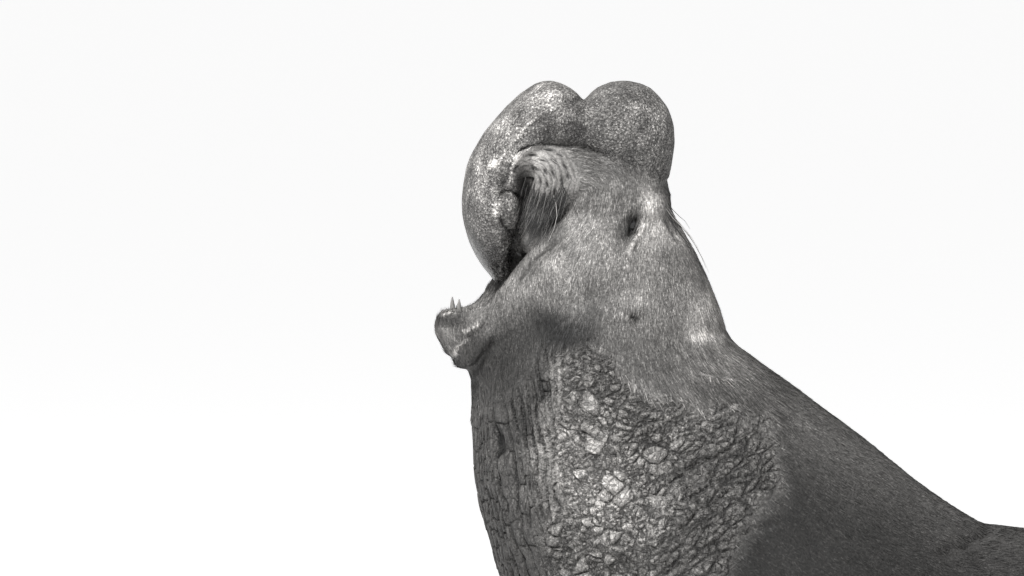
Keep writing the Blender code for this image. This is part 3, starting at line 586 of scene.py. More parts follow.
def round_plates(points, seed=23):
    """Large smooth nodules, with clusters of small ones between them, in the same terms."""
    bent = (points + (warp(points, 0.10, seed) * 0.012 + warp(points, 0.03, seed + 5) * 0.004)) * (1.0, 0.75, 1.15)
    large, which = cobbles(bent, 0.040, seed)
    medium, other = cobbles(bent, 0.024, seed + 3)
    small, own = cobbles(bent, 0.0150, seed + 11)
    large, medium, small = large * 0.020, medium * 0.0120, small * 0.0075
    depth = np.where(other > 0.55, medium, np.minimum(medium, small + 0.0004))
    own = np.where(other > 0.55, 0.25 + 0.6 * other, own)
    whole = which > 0.86
    return np.where(whole, large, np.minimum(large * 1.1, depth)), np.where(whole, 0.55, own)


def slanting_plates(points, seed=37):
    """Long folds that climb towards the back, cut into plates, in the same terms."""
    bent = points + warp(points, 0.10, seed) * 0.014
    slope = math.radians(36)
    along = bent[:, 0] * math.cos(slope) + bent[:, 2] * math.sin(slope)
    across = -bent[:, 0] * math.sin(slope) + bent[:, 2] * math.cos(slope)
    tilted = np.stack([along / 0.085, bent[:, 1] / 0.085, across / 0.030], axis=1)
    large, _ = cobbles(tilted, 1.0, seed)
    small, own = cobbles(bent * (0.8, 0.7, 1.0), 0.0170, seed + 11)
    return np.minimum(large * 0.015, small * 0.0085 + 0.0009), own


def shield_relief(points, spots):
    """Height of the shield's plates and cracks, how far each point is inside a plate, and the plate's own number."""
    shield, throat, middle, slant = shield_zones(points, spots)
    height = np.zeros(len(points))
    inside = np.full(len(points), PLATE_REACH)
    plate = np.full(len(points), 0.5)
    kinds = zip((throat, middle, slant), (throat_plates, round_plates, slanting_plates), DOMES)
    for share, plates, dome in kinds:
        chosen = np.flatnonzero(share > 0.01)
        depth, own = plates(points[chosen])
        swell = dome * (0.35 + own) * (1 - bell(depth, DOME_EDGE))
        height[chosen] += share[chosen] * (swell - CRACK_DEPTH * bell(depth, CRACK_HALF))
        weight = share[chosen] / shield[chosen]
        inside[chosen] += weight * (np.minimum(depth, PLATE_REACH) - PLATE_REACH)
        plate[chosen] += weight * (own - 0.5)
    folds = billow(points * (1.0, 1.0, 0.8), 0.075, 71) * 0.0050 + billow(points, 0.036, 73) * 0.0022
    return height + shield * folds, inside, plate


def pad_relief(spots):
    """Height of the wavy wrinkles that run round the whisker pad, and of the slots of its whiskers."""
    inside = ramp(1.12, 0.72, pixel_gap(spots, PAD_MIDDLE, PAD_HALF))
    shift = spots - np.array(PAD_HUB)
    flat = np.concatenate([spots, np.zeros((len(spots), 1))], axis=1)
    below = np.maximum(shift[:, 1], 0)
    ring = np.hypot(shift[:, 0] + 0.22 * below, np.minimum(shift[:, 1], 0))
    ring += 1.8 * billow(flat, 13.0, 5) + 0.9 * billow(flat, 5.0, 9)
    wave = np.abs(np.sin(ring * math.pi / PAD_WAVE)) ** 0.6 - 0.6
    height = PAD_WRINKLE * wave * inside
    furrow = inside * bell(np.sin(ring * math.pi / PAD_WAVE), 0.30)
    slot = np.zeros(len(spots))
    for u, v, turn, length in FOLLICLES:
        slot = np.maximum(slot, bell(pixel_gap(spots, (u, v), (length / 2, SLOT_HALF), math.radians(turn))))
    return height - SLOT_DEPTH * slot, slot, furrow


def line_relief(spots):
    """Height of the grooves and ridges that follow lines."""
    height = np.zeros(len(spots))
    for path, half_width, rise, fade in LINES.values():
        low = np.min(path, axis=0) - 4 * half_width / PIXEL
        high = np.max(path, axis=0) + 4 * half_width / PIXEL
        near = np.flatnonzero(((spots > low) & (spots < high)).all(axis=1))
        distance, share = along_path(spots[near], path)
        ends = ramp(0, fade, share) * ramp(1, 1 - fade, share)
        height[near] += rise * ends * bell(distance * PIXEL, half_width)
    return height


def side_share(points, normals, low=-0.15, high=0.25, reach=0.05):
    """1 where the surface faces sideways, as the marks on the animal's sides do, and 0 inside the mouth."""
    outward = normals[:, 1] * np.sign(points[:, 1])
    return ramp(low, high, outward) * ramp(0.3 * reach, reach, np.abs(points[:, 1]))


def shape_lids(points, spots):
    """Lays the lids over the eyeballs, and sinks the skin into the slit between them."""
    for name, side in (("eye_left", -1), ("eye_right", 1)):
        low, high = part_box(name)
        heart = np.array((low + high) / 2)
        radius = (high.z - low.z) / 2
        near = np.flatnonzero(
            (np.linalg.norm(points - heart, axis=1) < EYE_REACH * PIXEL) & ((points[:, 1] - heart[1]) * side > -0.01)
        )
        arm = points[near] - heart
        length = np.linalg.norm(arm, axis=1)
        slit = pixel_gap(spots[near], EYE_SLIT, EYE_HALF, EYE_LEAN)
        lid = np.maximum(length, radius + LID_THICKNESS * ramp(4.2, 1.1, slit) + 0.0005)
        for where, width, height in (LID_RIM, LID_HOLLOW):
            lid += height * bell(slit - where, width)
        sunk = np.minimum(length, radius - EYE_SUNK)
        open_ = ramp(1.10, 0.96, slit)
        wanted = lid * (1 - open_) + sunk * open_
        points[near] = heart + arm * (wanted / length)[:, None]
    return points


def sculpt(obj):
    """Raises and presses the forms of the hide into the skin."""
    mesh = obj.data
    points = points_of(mesh)
    normals = read_all(mesh.vertices, "normal", 3).astype(float)
    spots = on_photo(points)
    side = side_share(points, normals)
    cobbled = shield_relief(points, spots)[0]
    padded = pad_relief(spots)[0]
    body = ramp(*FOLDED_EDGE, points[:, 0])
    folds = billow(points * (1.0, 0.4, 1.0), 0.16, 41) * 0.006 + billow(points, 0.07, 43) * 0.0022
    height = cobbled + side * (padded + line_relief(spots) + ovals(spots, SPOTS))
    height += billow(points, 0.045, 47) * 0.0011 + folds * body * (1 - limb_share(points))
    points = points + normals * height[:, None]
    points = shape_lids(points, spots)
    points[:, 2] = np.maximum(points[:, 2], 0.0)
    store_points(mesh, points)


def tone_setting(name, tone, description):
    return FloatProperty(name=name, description=description, default=tone, min=0.0, max=1.0, precision=3)


class SealHide(bpy.types.PropertyGroup):
    """Lightness of the plain hide, as reflectance"""

    neck: tone_setting("Neck", 0.115, "Reflectance of the neck and the cheeks")
    back: tone_setting("Back", 0.043, "Reflectance of the back and the flanks")
    throat: tone_setting("Throat", 0.064, "Reflectance of the throat")
    shield: tone_setting("Shield", 0.330, "Reflectance of the chest shield's middle")
    slant: tone_setting("Shield's rear", 0.150, "Reflectance of the slanting folds behind the shield")
    nose: tone_setting("Nose", 0.150, "Reflectance of the nose's two lobes")
    pad: tone_setting("Whisker pad", 0.165, "Reflectance of the whisker pads")
    belly: tone_setting("Belly", 0.080, "Reflectance of the belly")
    flipper: tone_setting("Flippers", 0.045, "Reflectance of the flippers")
    mouth: tone_setting("Mouth", 0.070, "Reflectance of the mouth's lining")
    tint: FloatVectorProperty(name="Tint", description="Colour that every grey of the hide is multiplied by",
                              default=(1.0, 0.965, 0.925), min=0.0, max=1.0, subtype="COLOR")


class SealCoat(bpy.types.PropertyGroup):
    """How the short coat is laid"""

    density: FloatProperty(name="Density", description="Share of the usual number of tufts", default=1.0, min=0.1,
                           max=1.3, subtype="FACTOR")
    length: FloatProperty(name="Length", description="Length of the tufts, as a share of the usual", default=1.0,
                          min=0.2, max=2.0, subtype="FACTOR")
    seed: IntProperty(name="Seed", description="Another number scatters the tufts anew", default=1, min=1)


class SealWhiskers(bpy.types.PropertyGroup):
    """The long hairs of the face"""

    strands: IntProperty(name="Fringe strands", description="Strands in the fringe below each whisker pad",
                         default=420, min=0, max=2000)
    strand_radius: FloatProperty(name="Strand radius", description="Radius of a fringe strand at its root",
                                 default=0.0009, min=0.0002, max=0.003, precision=4, unit="LENGTH")
    whisker_radius: FloatProperty(name="Whisker radius", description="Radius of a whisker at its root",
                                  default=0.0011, min=0.0002, max=0.003, precision=4, unit="LENGTH")


class SealStage(bpy.types.PropertyGroup):
    """The floor and the light"""

    floor: FloatProperty(name="Floor", description="Reflectance of the floor", default=0.86, min=0.0, max=1.0)
    glow: FloatProperty(name="Floor's glow", description="Light that the pale floor adds", default=0.56, min=0.0,
                        max=2.0)
    sky: FloatProperty(name="Sky", description="Strength of the even light all round", default=0.45, min=0.0, max=5.0)
    key_power: FloatProperty(name="Key power", description="Power of the large lamp above the animal's left",
                             default=1900.0, min=0.0, max=10000.0, unit="POWER")
    key_size: FloatProperty(name="Key size", description="Width of the large lamp", default=3.5, min=0.1, max=20.0,
                            unit="LENGTH")


NOSE_OUTLINE = (
    (500, 290), (440, 230), (440, 50), (700, 50), (700, 180), (668, 188), (640, 172), (612, 161), (590, 149),
    (562, 144), (532, 146), (516, 156), (520, 176), (524, 200), (521, 232), (510, 272),
)
# Lighter and darker patches, most of them painted light and shade: painted highlights on the lit upper sides and fronts
# of the nose's lobes, on the pad's upper side and along the rims of crown and nape, a painted sheen over the eye, and
# painted shade under the lobes, the pad, the trunk and the jaw, in the pit, the puckers, the dimple and the ear, and
# low on the cheek and the chest; some are the hide's own markings. Each: u, v, half width and half height in pixels,
# turn in degrees, change in stops
LIGHT_SHADE_AND_MARK_PATCHES = {
    "over_eye": (651, 200, 12, 15, -30, 1.45),
    "behind_eye": (658, 226, 12, 22, 8, 1.10),
    "brow": (640, 186, 20, 8, 0, 0.10),
    "notch": (668, 186, 6, 14, 10, -0.90),
    "band_over_pad": (568, 131, 32, 11, 0, -0.95),
    "band_end": (612, 147, 22, 7, 0, -0.50),
    "rear_lobe_low": (636, 166, 34, 12, 0, -0.95),
    "trunk_top": (545, 94, 24, 13, 0, 1.60),
    "trunk_front": (500, 126, 14, 24, 30, 1.35),
    "trunk_nose": (478, 168, 11, 30, 8, 0.95),
    "trunk_side": (520, 150, 14, 16, 30, -0.10),
    "rear_lobe_spot": (615, 106, 9, 6, 0, -0.65),
    "rear_lobe_top": (598, 94, 10, 8, 0, 0.60),
    "rear_lobe_light": (640, 116, 24, 18, 0, 0.30),
    "trunk_low": (490, 240, 14, 20, -15, -0.20),
    "trunk_tip": (506, 266, 12, 12, 0, -0.45),
    "lump": (511, 208, 8, 13, 0, 0.65),
    "lump_shade": (509, 228, 9, 6, 0, -0.25),
    "pucker_left": (567, 101, 4, 3, 0, -1.70),
    "pucker_right": (576, 100, 4, 3.5, 0, -1.90),
    "pit": (525, 186, 5, 12, 0, -3.20),
    "pit_front": (519, 184, 6, 10, 0, -1.30),
    "pad_low": (545, 208, 22, 12, 20, -0.95),
    "under_pad": (546, 224, 15, 16, 30, -1.60),
    "fringe_root": (530, 230, 8, 26, 10, -0.95),
    "pad_front": (516, 160, 8, 12, 25, 0.95),
    "cheek": (590, 236, 20, 26, 20, 0.35),
    "cheek_light": (574, 232, 9, 24, 35, 0.35),
    "lip_light": (545, 258, 8, 28, 52, 0.70),
    "jaw_light": (556, 272, 14, 26, 50, 0.30),
    "jaw_front": (510, 300, 12, 18, 50, 0.25),
    "eye_halo": (630, 227, 7.5, 19, -20, -2.30),
    "before_eye": (620, 231, 6, 9, 0, -0.70),
    "eye_tuft": (624, 243, 3.2, 3.2, 0, 1.10),
    "eye_fold": (637, 236, 3.0, 15, -28, 0.80),
    "dimple": (666, 254, 11, 9, 0, -1.00),
    "dimple_rear": (676, 262, 10, 14, 20, -0.40),
    "temple": (690, 262, 8, 30, -20, 0.25),
    "neck_high": (690, 302, 14, 22, -10, 0.75),
    "cheek_low": (600, 282, 26, 14, 0, -0.45),
    "cheek_mottle": (608, 256, 22, 14, 10, 0.45),
    "jaw_dark": (560, 330, 34, 15, -20, -4.20),
    "under_jaw": (496, 352, 36, 24, 10, -1.15),
    "throat_high": (504, 386, 36, 28, 0, -0.85),
    "lip_light_low": (512, 284, 6, 20, 50, 0.45),
    "chin_front": (448, 321, 12, 7, -15, -1.10),
    "jaw_dark_rear": (592, 320, 10, 22, 0, -0.70),
    "jaw_dark_front": (510, 330, 26, 22, 40, -0.55),
    "chin_low": (478, 350, 14, 22, 30, -0.45),
    "ear_light": (632, 297, 14, 9, 0, 0.85),
    "ear_dark": (636, 317, 7, 4, 0, -1.00),
    "neck_light": (701, 335, 17, 5, 5, 2.00),
    "neck_edge": (720, 322, 6, 24, -12, 0.60),
    "neck_low": (660, 378, 36, 12, 10, -0.30),
    "back_high": (735, 366, 22, 14, 35, 0.75),
    "pad_top": (538, 157, 17, 9, -10, 0.85),
    "chin_dark": (452, 322, 16, 6, -25, -0.90),
    "chin_spot": (449, 308, 5, 4, 0, -1.00),
    "shield_heart": (600, 486, 44, 60, 0, 0.35),
    "shield_high": (565, 378, 30, 26, 0, 0.25),
    "shield_dark": (650, 420, 30, 16, 0, -0.60),
    "shield_low": (600, 566, 60, 28, 0, -0.60),
    "shield_rear": (722, 486, 34, 40, 0, -0.20),
    "neck_band": (622, 374, 78, 34, 8, -0.95),
    "neck_front": (548, 346, 24, 16, 0, -0.70),
    "face_light": (648, 252, 34, 44, -18, 0.55),
    "crown_rim": (682, 236, 10, 26, -18, 1.00),
    "nape_rim": (707, 308, 10, 30, -18, 1.60),
    "under_lobes": (594, 160, 42, 32, 0, -0.45),
    "cheek_foot": (594, 316, 32, 18, 0, -0.50),
    "throat_foot": (540, 552, 26, 44, 0, -1.10),
    "slant_foot": (734, 562, 24, 32, 0, -0.70),
    "shield_core": (588, 490, 13, 34, 0, 0.45),
    "shield_side": (656, 474, 22, 30, 0, -0.75),
    "shield_upper": (644, 438, 32, 18, 0, -0.55),
}
# Pale scars and pale streaks, some of them painted highlights along ridges, and dark lines of painted shade along
# creases, furrows, grooves and pores: points, half width in metres, lightness that they bring
SCARS_AND_SHADE_LINES = {
    "star_of_trunk": (((490, 164), (494, 161), (496, 165)), 0.0052, 1.00),
    "streak_of_trunk": (((495, 190), (497, 200), (496, 215)), 0.0052, 0.70),
    "ridge_of_trunk": (((556, 107), (541, 114), (528, 124), (515, 139), (505, 152), (498, 163)), 0.0024, 0.42),
    "thread_of_trunk": (((487, 172), (485, 186), (487, 200)), 0.0018, 0.34),
    "edge_by_pad": (((518, 154), (514, 162), (511, 172), (511, 182)), 0.0040, 0.46),
    "lump_top": (LINES["trunk_wrinkle_high"][0], 0.0034, 0.030),
    "lump_foot": (LINES["trunk_wrinkle_low"][0], 0.0032, 0.040),
    "trunk_furrow": (((502, 188), (506, 181), (509, 174)), 0.0026, 0.035),
    "trunk_pore": (((508, 168), (511, 164)), 0.0032, 0.020),
    "rim_over_pad": (((518, 152), (528, 146), (543, 144), (560, 145), (576, 147), (592, 151)), 0.0022, 0.035),
    "pad_rim": (((524, 157), (534, 151), (546, 149), (560, 151), (570, 157), (577, 166)), 0.0016, 0.070),
    "lip_furrow": (((556, 243), (546, 251), (534, 261), (526, 273), (518, 283)), 0.0042, 0.040),
    "lip_furrow_low": (((548, 256), (538, 266), (530, 277)), 0.0032, 0.050),
    "chin_band": (((441, 324), (450, 320), (459, 317), (467, 312)), 0.0052, 0.035),
    "brow_groove_shade_a": (((660, 209), (664, 219), (669, 229), (675, 239)), 0.0020, 0.060),
    "brow_groove_shade_b": (((666, 207), (671, 219), (677, 233)), 0.0018, 0.070),
    "brow_groove_shade_c": (((654, 213), (658, 223), (662, 233)), 0.0016, 0.080),
    "lip_of_chin": (((438, 316), (447, 314), (453, 309), (460, 305), (466, 303)), 0.0030, 0.50),
    "fold_of_chin": (((453, 356), (458, 347), (467, 339)), 0.0030, 0.46),
    "fold_of_lip": (((464, 333), (471, 329), (477, 326), (481, 316)), 0.0028, 0.30),
    "eye_fold": (((644, 223), (639, 234), (633, 245), (628, 254)), 0.0030, 0.46),
    "neck_scar": (((695, 372), (712, 378), (730, 380), (745, 383)), 0.0022, 0.30),
    "shoulder_scar": (((706, 419), (724, 413), (738, 405)), 0.0028, 0.24),
    "shield_scar": (((570, 434), (584, 428), (604, 414)), 0.0034, 0.30),
    "ear_dot": (((622, 314), (627, 317)), 0.0035, 0.34),
    "dimple_dot": (((664, 250), (665, 251)), 0.0022, 0.20),
}


def mouth_share(points):
    """1 on the lining of the mouth."""
    line = np.array(MOUTH_LINE, float)
    distance, share = along_path(points[:, [0, 2]], line[:, :2])
    half, width = (np.interp(share, np.linspace(0, 1, len(line)), line[:, column]) for column in (2, 3))
    return ramp(1.25, 0.95, np.hypot(distance / half, points[:, 1] / width))


def layered(tone, *layers):
    """The tone under layers, each of which covers it by a share with its own lightness."""
    for share, lightness in layers:
        tone = tone * (1 - share) + lightness * share
    return tone


def mark_tone(points, spots, side, hide):
    """The hide's lightness at each point, with painted light and shade in it."""
    shield, throat, middle, slant = shield_zones(points, spots)
    head = ramp(*HEAD_EDGE, points[:, 0])
    back = ramp(*BACK_FADE, (spots - BACK_SPOT) @ BACK_WAY)
    # Painted light along the crest of the back and painted shade down the flanks, by height above the middle line
    above = points[:, 2] - np.interp(points[:, 0], *np.transpose(SPINE[SPINE_BACK:]))
    crest_light_and_flank_shade = np.interp(above, *np.transpose(CREST_LIGHT_AND_FLANK_SHADE_STOPS)) * ramp(*FLANK_EDGE, points[:, 0])
    tone = hide.neck * (1 - back) + hide.back * back * 2**crest_light_and_flank_shade
    behind_chin = spots[:, 0] - 453 - 0.62 * np.maximum(352 - spots[:, 1], 0)
    dim = ramp(578, 540, spots[:, 0]) * ramp(316, 346, spots[:, 1]) * ramp(-3, 4, behind_chin)
    dim = np.maximum(throat, dim)
    nose = ramp(-4, 5, inside_outline(spots, NOSE_OUTLINE)) * head
    pad = ramp(1.08, 0.86, pixel_gap(spots, PAD_MIDDLE, PAD_HALF)) * side
    tone = layered(tone, (dim, hide.throat), (middle, hide.shield), (slant, hide.slant))
    tone = layered(tone, (nose, hide.nose), (pad, hide.pad))
    # Painted light and shade on the head and chest, with some of the hide's own markings
    tone = tone * 2 ** (ovals(spots, LIGHT_SHADE_AND_MARK_PATCHES) * np.maximum(side, 0.4) * head)
    limb = limb_share(points)
    belly = ramp(*BELLY_TOP, points[:, 2]) * ramp(*BELLY_EDGE, points[:, 0]) * (1 - limb)
    mouth = mouth_share(points)
    tone = layered(tone, (belly, hide.belly), (limb, hide.flipper), (mouth, hide.mouth))
    return tone, nose, pad, mouth, shield, throat


def mark_skin(mesh, hide):
    """Keeps on the skin what its material and its coat read: lightness, kinds of hide, the coat's lie and an unwrap."""
    points = points_of(mesh)
    normals = read_all(mesh.vertices, "normal", 3).astype(float)
    spots = on_photo(points)
    side = side_share(points, normals, -0.30, 0.05, 0.02)
    _, inside, plate = shield_relief(points, spots)
    tone, nose, pad, mouth, shield, throat = mark_tone(points, spots, side, hide)
    # Lays the pale scars and streaks and the lines of painted shade along creases and grooves over the lightness
    scar_and_shade_line = np.zeros(len(points))
    light = np.zeros(len(points))
    for path, half_width, lightness in SCARS_AND_SHADE_LINES.values():
        distance, _ = along_path(spots, path)
        near = bell(distance * PIXEL, half_width) * side
        light = np.where(near > scar_and_shade_line, lightness, light)
        scar_and_shade_line = np.maximum(scar_and_shade_line, near)
    tone = tone * (1 - scar_and_shade_line) + light * scar_and_shade_line
    _, slot, furrow = pad_relief(spots)
    limb = limb_share(points)
    slit = pixel_gap(spots, EYE_SLIT, EYE_HALF, EYE_LEAN)
    rim = ramp(1.9, 1.1, slit) * side * (np.abs(points[:, 1]) > CHEEK_START)
    lie, unwrap = lie_of(points, normals)
    bare = np.maximum(shield, nose)
    fur = (1 - ramp(0.05, 0.75, bare)) * (1 - pad) * (1 - mouth) * (1 - limb * 0.5) * (1 - rim)
    fur *= ramp(*FUR_FOOT, points[:, 2]) * (1 - 0.9 * scar_and_shade_line)
    # Painted shade in the whiskers' slots and in the furrows of the pad, and a darker rim round the eye
    dark = np.maximum(slot, furrow * 0.60) * side + rim * 0.7
    values = {
        "tone": tone * (1 - np.clip(dark, 0, 0.92)),
        "nose": nose,
        "shield": shield,
        "throat": throat,
        "column": throat_columns(points),
        "inside": inside,
        "plate": plate,
        "pad": pad,
        "wet": np.maximum(mouth, rim * 0.8),
        "fur": np.clip(fur, 0, 1),
    }
    for name, value in values.items():
        store_value(mesh, name, value)
    for name, vectors in (("lie", lie), ("unwrap", unwrap)):
        attribute = mesh.attributes.new(name, "FLOAT_VECTOR", "POINT")
        attribute.data.foreach_set("vector", vectors.astype(np.float32).ravel())


# Middle line of the animal from the tip of its nose to its tail: x and z, in metres
SPINE = (
    (-1.927, 1.470), (-1.945, 1.600), (-1.925, 1.740), (-1.850, 1.825), (-1.740, 1.800), (-1.640, 1.790),
    (-1.600, 1.690), (-1.640, 1.560), (-1.680, 1.400), (-1.670, 1.220), (-1.590, 1.040), (-1.450, 0.840),
    (-1.250, 0.660), (-0.950, 0.510), (-0.500, 0.430), (0.000, 0.390), (0.600, 0.320), (1.100, 0.220),
    (1.500, 0.150), (1.750, 0.110),
)
# The first of these points that lies in the neck, from where on the line runs only rearwards
SPINE_BACK = 9
# Painted light and shade on the back by height above the middle line: lighter along its crest and darker down the
# flanks. Metres, change in stops
CREST_LIGHT_AND_FLANK_SHADE_STOPS = ((-0.35, -0.6), (-0.05, -1.3), (0.15, -1.6), (0.29, -1.1), (0.39, 0.0), (0.46, 0.8))
# How far the tail swings to the animal's left, and from where to where along its length, in metres
TAIL_SWING = 0.17
SWING_START = 0.341
SWING_END = 2.041
# How far apart along its line the coat's direction is measured, as a share of the line
LIE_STEP = 0.03
# Middle lines of the flippers: x, distance from the middle plane, z
FORE_LINE = ((-1.309, 0.300, 0.390), (-1.404, 0.500, 0.160), (-1.467, 0.650, 0.036), (-1.505, 0.900, 0.012))
HIND_LINE = ((1.431, 0.095, 0.150), (1.631, 0.175, 0.075), (1.831, 0.242, 0.022), (2.000, 0.290, 0.012))
# The mouth's hollow from the throat to the lip: x, z, half height, half width
MOUTH_LINE = (
    (-1.763, 1.600, 0.030, 0.045), (-1.815, 1.580, 0.060, 0.090), (-1.870, 1.545, 0.085, 0.112),
    (-1.930, 1.500, 0.090, 0.102), (-1.975, 1.450, 0.070, 0.078), (-2.015, 1.418, 0.045, 0.052),
    (-2.045, 1.412, 0.020, 0.024),
)


def swing_at(x):
    """How far the hindquarters swing to the animal's left at a place along its length."""
    return -TAIL_SWING * np.clip((x - SWING_START) / (SWING_END - SWING_START), 0, None) ** 2


def place_along(line, share):
    return np.stack([np.interp(share, shares_of(line), line[:, axis]) for axis in range(3)], axis=1)


def lie_of(points, normals):
    """The direction in which the coat lies, and each point's place on an unwrap round the animal's middle lines."""
    spine = np.array([(x, swing_at(x), z) for x, z in SPINE])
    lines = [(spine, (0.02, 0.02, 0.96, 0.66), 0)]
    for index, side in enumerate((-1, 1)):
        fore = np.array(FORE_LINE) * (1, side, 1)
        hind = np.array(HIND_LINE) * (1, side, 1)
        hind[:, 1] += swing_at(hind[:, 0])
        lines.append((fore, (0.02 + 0.49 * index, 0.70, 0.45, 0.13), side))
        lines.append((hind, (0.02 + 0.49 * index, 0.85, 0.45, 0.13), side))
    lie = np.zeros_like(points)
    unwrap = np.zeros_like(points)
    limb = limb_share(points) > 0.5
    hind_side = np.where(points[:, 1] > swing_at(points[:, 0]), 1, -1)
    for index, (line, (left, low, wide, tall), side) in enumerate(lines):
        if side == 0:
            chosen = np.flatnonzero(~limb)
        elif index % 2 == 1:
            chosen = np.flatnonzero(limb & (points[:, 0] < 0) & (np.sign(points[:, 1]) == side))
        else:
            chosen = np.flatnonzero(limb & (points[:, 0] > 0) & (hind_side == side))
        here = points[chosen]
        _, share = along_path(here, line)
        tangent = place_along(line, share + LIE_STEP) - place_along(line, share - LIE_STEP)
        tangent /= np.linalg.norm(tangent, axis=1)[:, None] + 1e-9
        arm = here - place_along(line, share)
        across = np.array([0.0, 1.0, 0.0]) if side == 0 else np.array([0.0, 0.0, 1.0])
        above = np.cross(tangent, across)
        angle = np.arctan2(arm @ across, (arm * above).sum(axis=1)) / (2 * math.pi) + 0.5
        unwrap[chosen, 0] = left + wide * share
        unwrap[chosen, 1] = low + tall * angle
        lie[chosen] = tangent
    lie -= normals * (lie * normals).sum(axis=1)[:, None]
    lie /= np.linalg.norm(lie, axis=1)[:, None] + 1e-9
    return lie, unwrap


def build_skin(hide):
    """The whole skin, fine on the face and the shield and coarser behind."""
    obj = close_flesh()
    soften_rear(obj)
    soften_front(obj)
    points = points_of(obj.data)
    front = ramp(*FINE_EDGE, points[:, 0]) * (1 - limb_share(points))
    kept = int((front > 0.5).sum() * 2)
    thin_out(obj, kept + REAR_TRIANGLES, 1 - front)
    points = points_of(obj.data)
    spots = on_photo(points)
    near = np.maximum(inside_outline(spots, FACE_OUTLINE), inside_outline(spots, SHIELD_OUTLINE))
    refine(obj, (near > -FINE_MARGIN) & (points[:, 0] < FINE_EDGE[1]) & (np.abs(points[:, 1]) < 0.55))
    points = points_of(obj.data)
    spots = on_photo(points)
    close = (pixel_gap(spots, EYE_PIXEL, FINE_ROUND_EYE) < 1) | (pixel_gap(spots, PAD_MIDDLE, PAD_HALF) < 1.15)
    refine(obj, close & (np.abs(points[:, 1]) > CHEEK_START) & (points[:, 0] < -1.5))
    sculpt(obj)
    thin_out(obj, SKIN_TRIANGLES, None)
    keep_largest(obj.data)
    mark_skin(obj.data, hide)
    return obj


class Wire:
    """A node's output that can be calculated with: each step adds a Math node to its tree."""

    def __init__(self, socket):
        self.socket = socket
        self.tree = socket.id_data

    def math(self, operation, *others):
        inputs = dict(enumerate((self, *others)))
        return wire(self.tree, "ShaderNodeMath", inputs, operation=operation)

    def __add__(self, other):
        return self.math("ADD", other)

    def __sub__(self, other):
        return self.math("SUBTRACT", other)

    def __mul__(self, other):
        return self.math("MULTIPLY", other)

    def __rsub__(self, other):
        return wire(self.tree, "ShaderNodeMath", {0: other, 1: self}, operation="SUBTRACT")

    def __rpow__(self, base):
        return wire(self.tree, "ShaderNodeMath", {0: base, 1: self}, operation="POWER")

    def maximum(self, other):
        return self.math("MAXIMUM", other)


def fill(node, inputs):
    """Fills a node's inputs, each with a value or a wire."""
    for name, value in dict(inputs).items():
        if isinstance(value, Wire):
            node.id_data.links.new(value.socket, node.inputs[name])
        else:
            node.inputs[name].default_value = value


def add_node(tree, kind, inputs=(), **settings):
    """A node with its settings and inputs filled in."""
    node = tree.nodes.new(kind)
    for name, value in settings.items():
        setattr(node, name, value)
    fill(node, inputs)
    return node


def wire(tree, kind, inputs=(), output=0, **settings):
    """One output of a new node."""
    return Wire(add_node(tree, kind, inputs, **settings).outputs[output])


def vector_math(operation, first, *others):
    inputs = dict(enumerate((first, *others)))
    return wire(first.tree, "ShaderNodeVectorMath", inputs, operation=operation)


def noise(place, scale, detail, roughness=0.5, output="Fac"):
    inputs = {"Vector": place, "Scale": scale, "Detail": detail, "Roughness": roughness}
    return wire(place.tree, "ShaderNodeTexNoise", inputs, output)


def rise(value, low, high, interpolation="SMOOTHSTEP"):
    """0 below low, 1 above high and a smooth step between."""
    inputs = {"Value": value, "From Min": low, "From Max": high}
    return wire(value.tree, "ShaderNodeMapRange", inputs, interpolation_type=interpolation)


def mix(factor, low, high):
    return wire(factor.tree, "ShaderNodeMix", {"Factor": factor, "A": low, "B": high}, data_type="FLOAT")


def read_value(tree, name):
    """A number that the mesh keeps for each point."""
    return wire(tree, "ShaderNodeAttribute", output="Fac", attribute_name=name)


def new_group(name, kind, inputs, outputs):
    """A node group, wires from its inputs, and its end node. Each input says its kind or its usual number."""
    tree = bpy.data.node_groups.new(name, kind)
    for label, value in inputs.items():
        named = isinstance(value, str)
        kind_of_input = value if named else type(value).__name__.title()
        socket = tree.interface.new_socket(label, in_out="INPUT", socket_type="NodeSocket" + kind_of_input)
        if not named:
            socket.default_value = value
    for label, kind_of_output in outputs.items():
        tree.interface.new_socket(label, in_out="OUTPUT", socket_type="NodeSocket" + kind_of_output)
    start = tree.nodes.new("NodeGroupInput")
    return tree, {socket.name: Wire(socket) for socket in start.outputs}, tree.nodes.new("NodeGroupOutput")


def use_group(build, inputs):
    """The outputs of a shader group, built the first time it is used."""
    name = build.__name__.replace("_group", "").replace("_", " ")
    tree = inputs["Place"].tree
    group = bpy.data.node_groups.get(name) or build(name)
    node = add_node(tree, "ShaderNodeGroup", inputs, node_tree=group)
    return {socket.name: Wire(socket) for socket in node.outputs}


def hide_grain_group(name):
    """Uneven grain: fine specks over broad mottling, around 1, for lightness, and its height."""
    tree, given, end = new_group(
        name,
        "ShaderNodeTree",
        {"Place": "Vector", "Fine": 330.0, "Broad": 24.0, "Speck": 0.5, "Mottle": 0.35},
        {"Lightness": "Float", "Height": "Float"},
    )
    fine = noise(given["Place"], given["Fine"], 2.0, 0.7)
    broad = noise(given["Place"], given["Broad"], 5.0, 0.62)
    stops = ((fine - 0.5) * given["Speck"] + (broad - 0.5) * given["Mottle"]) * 6.0
    fill(end, {"Lightness": 2.0**stops, "Height": fine})
    return tree


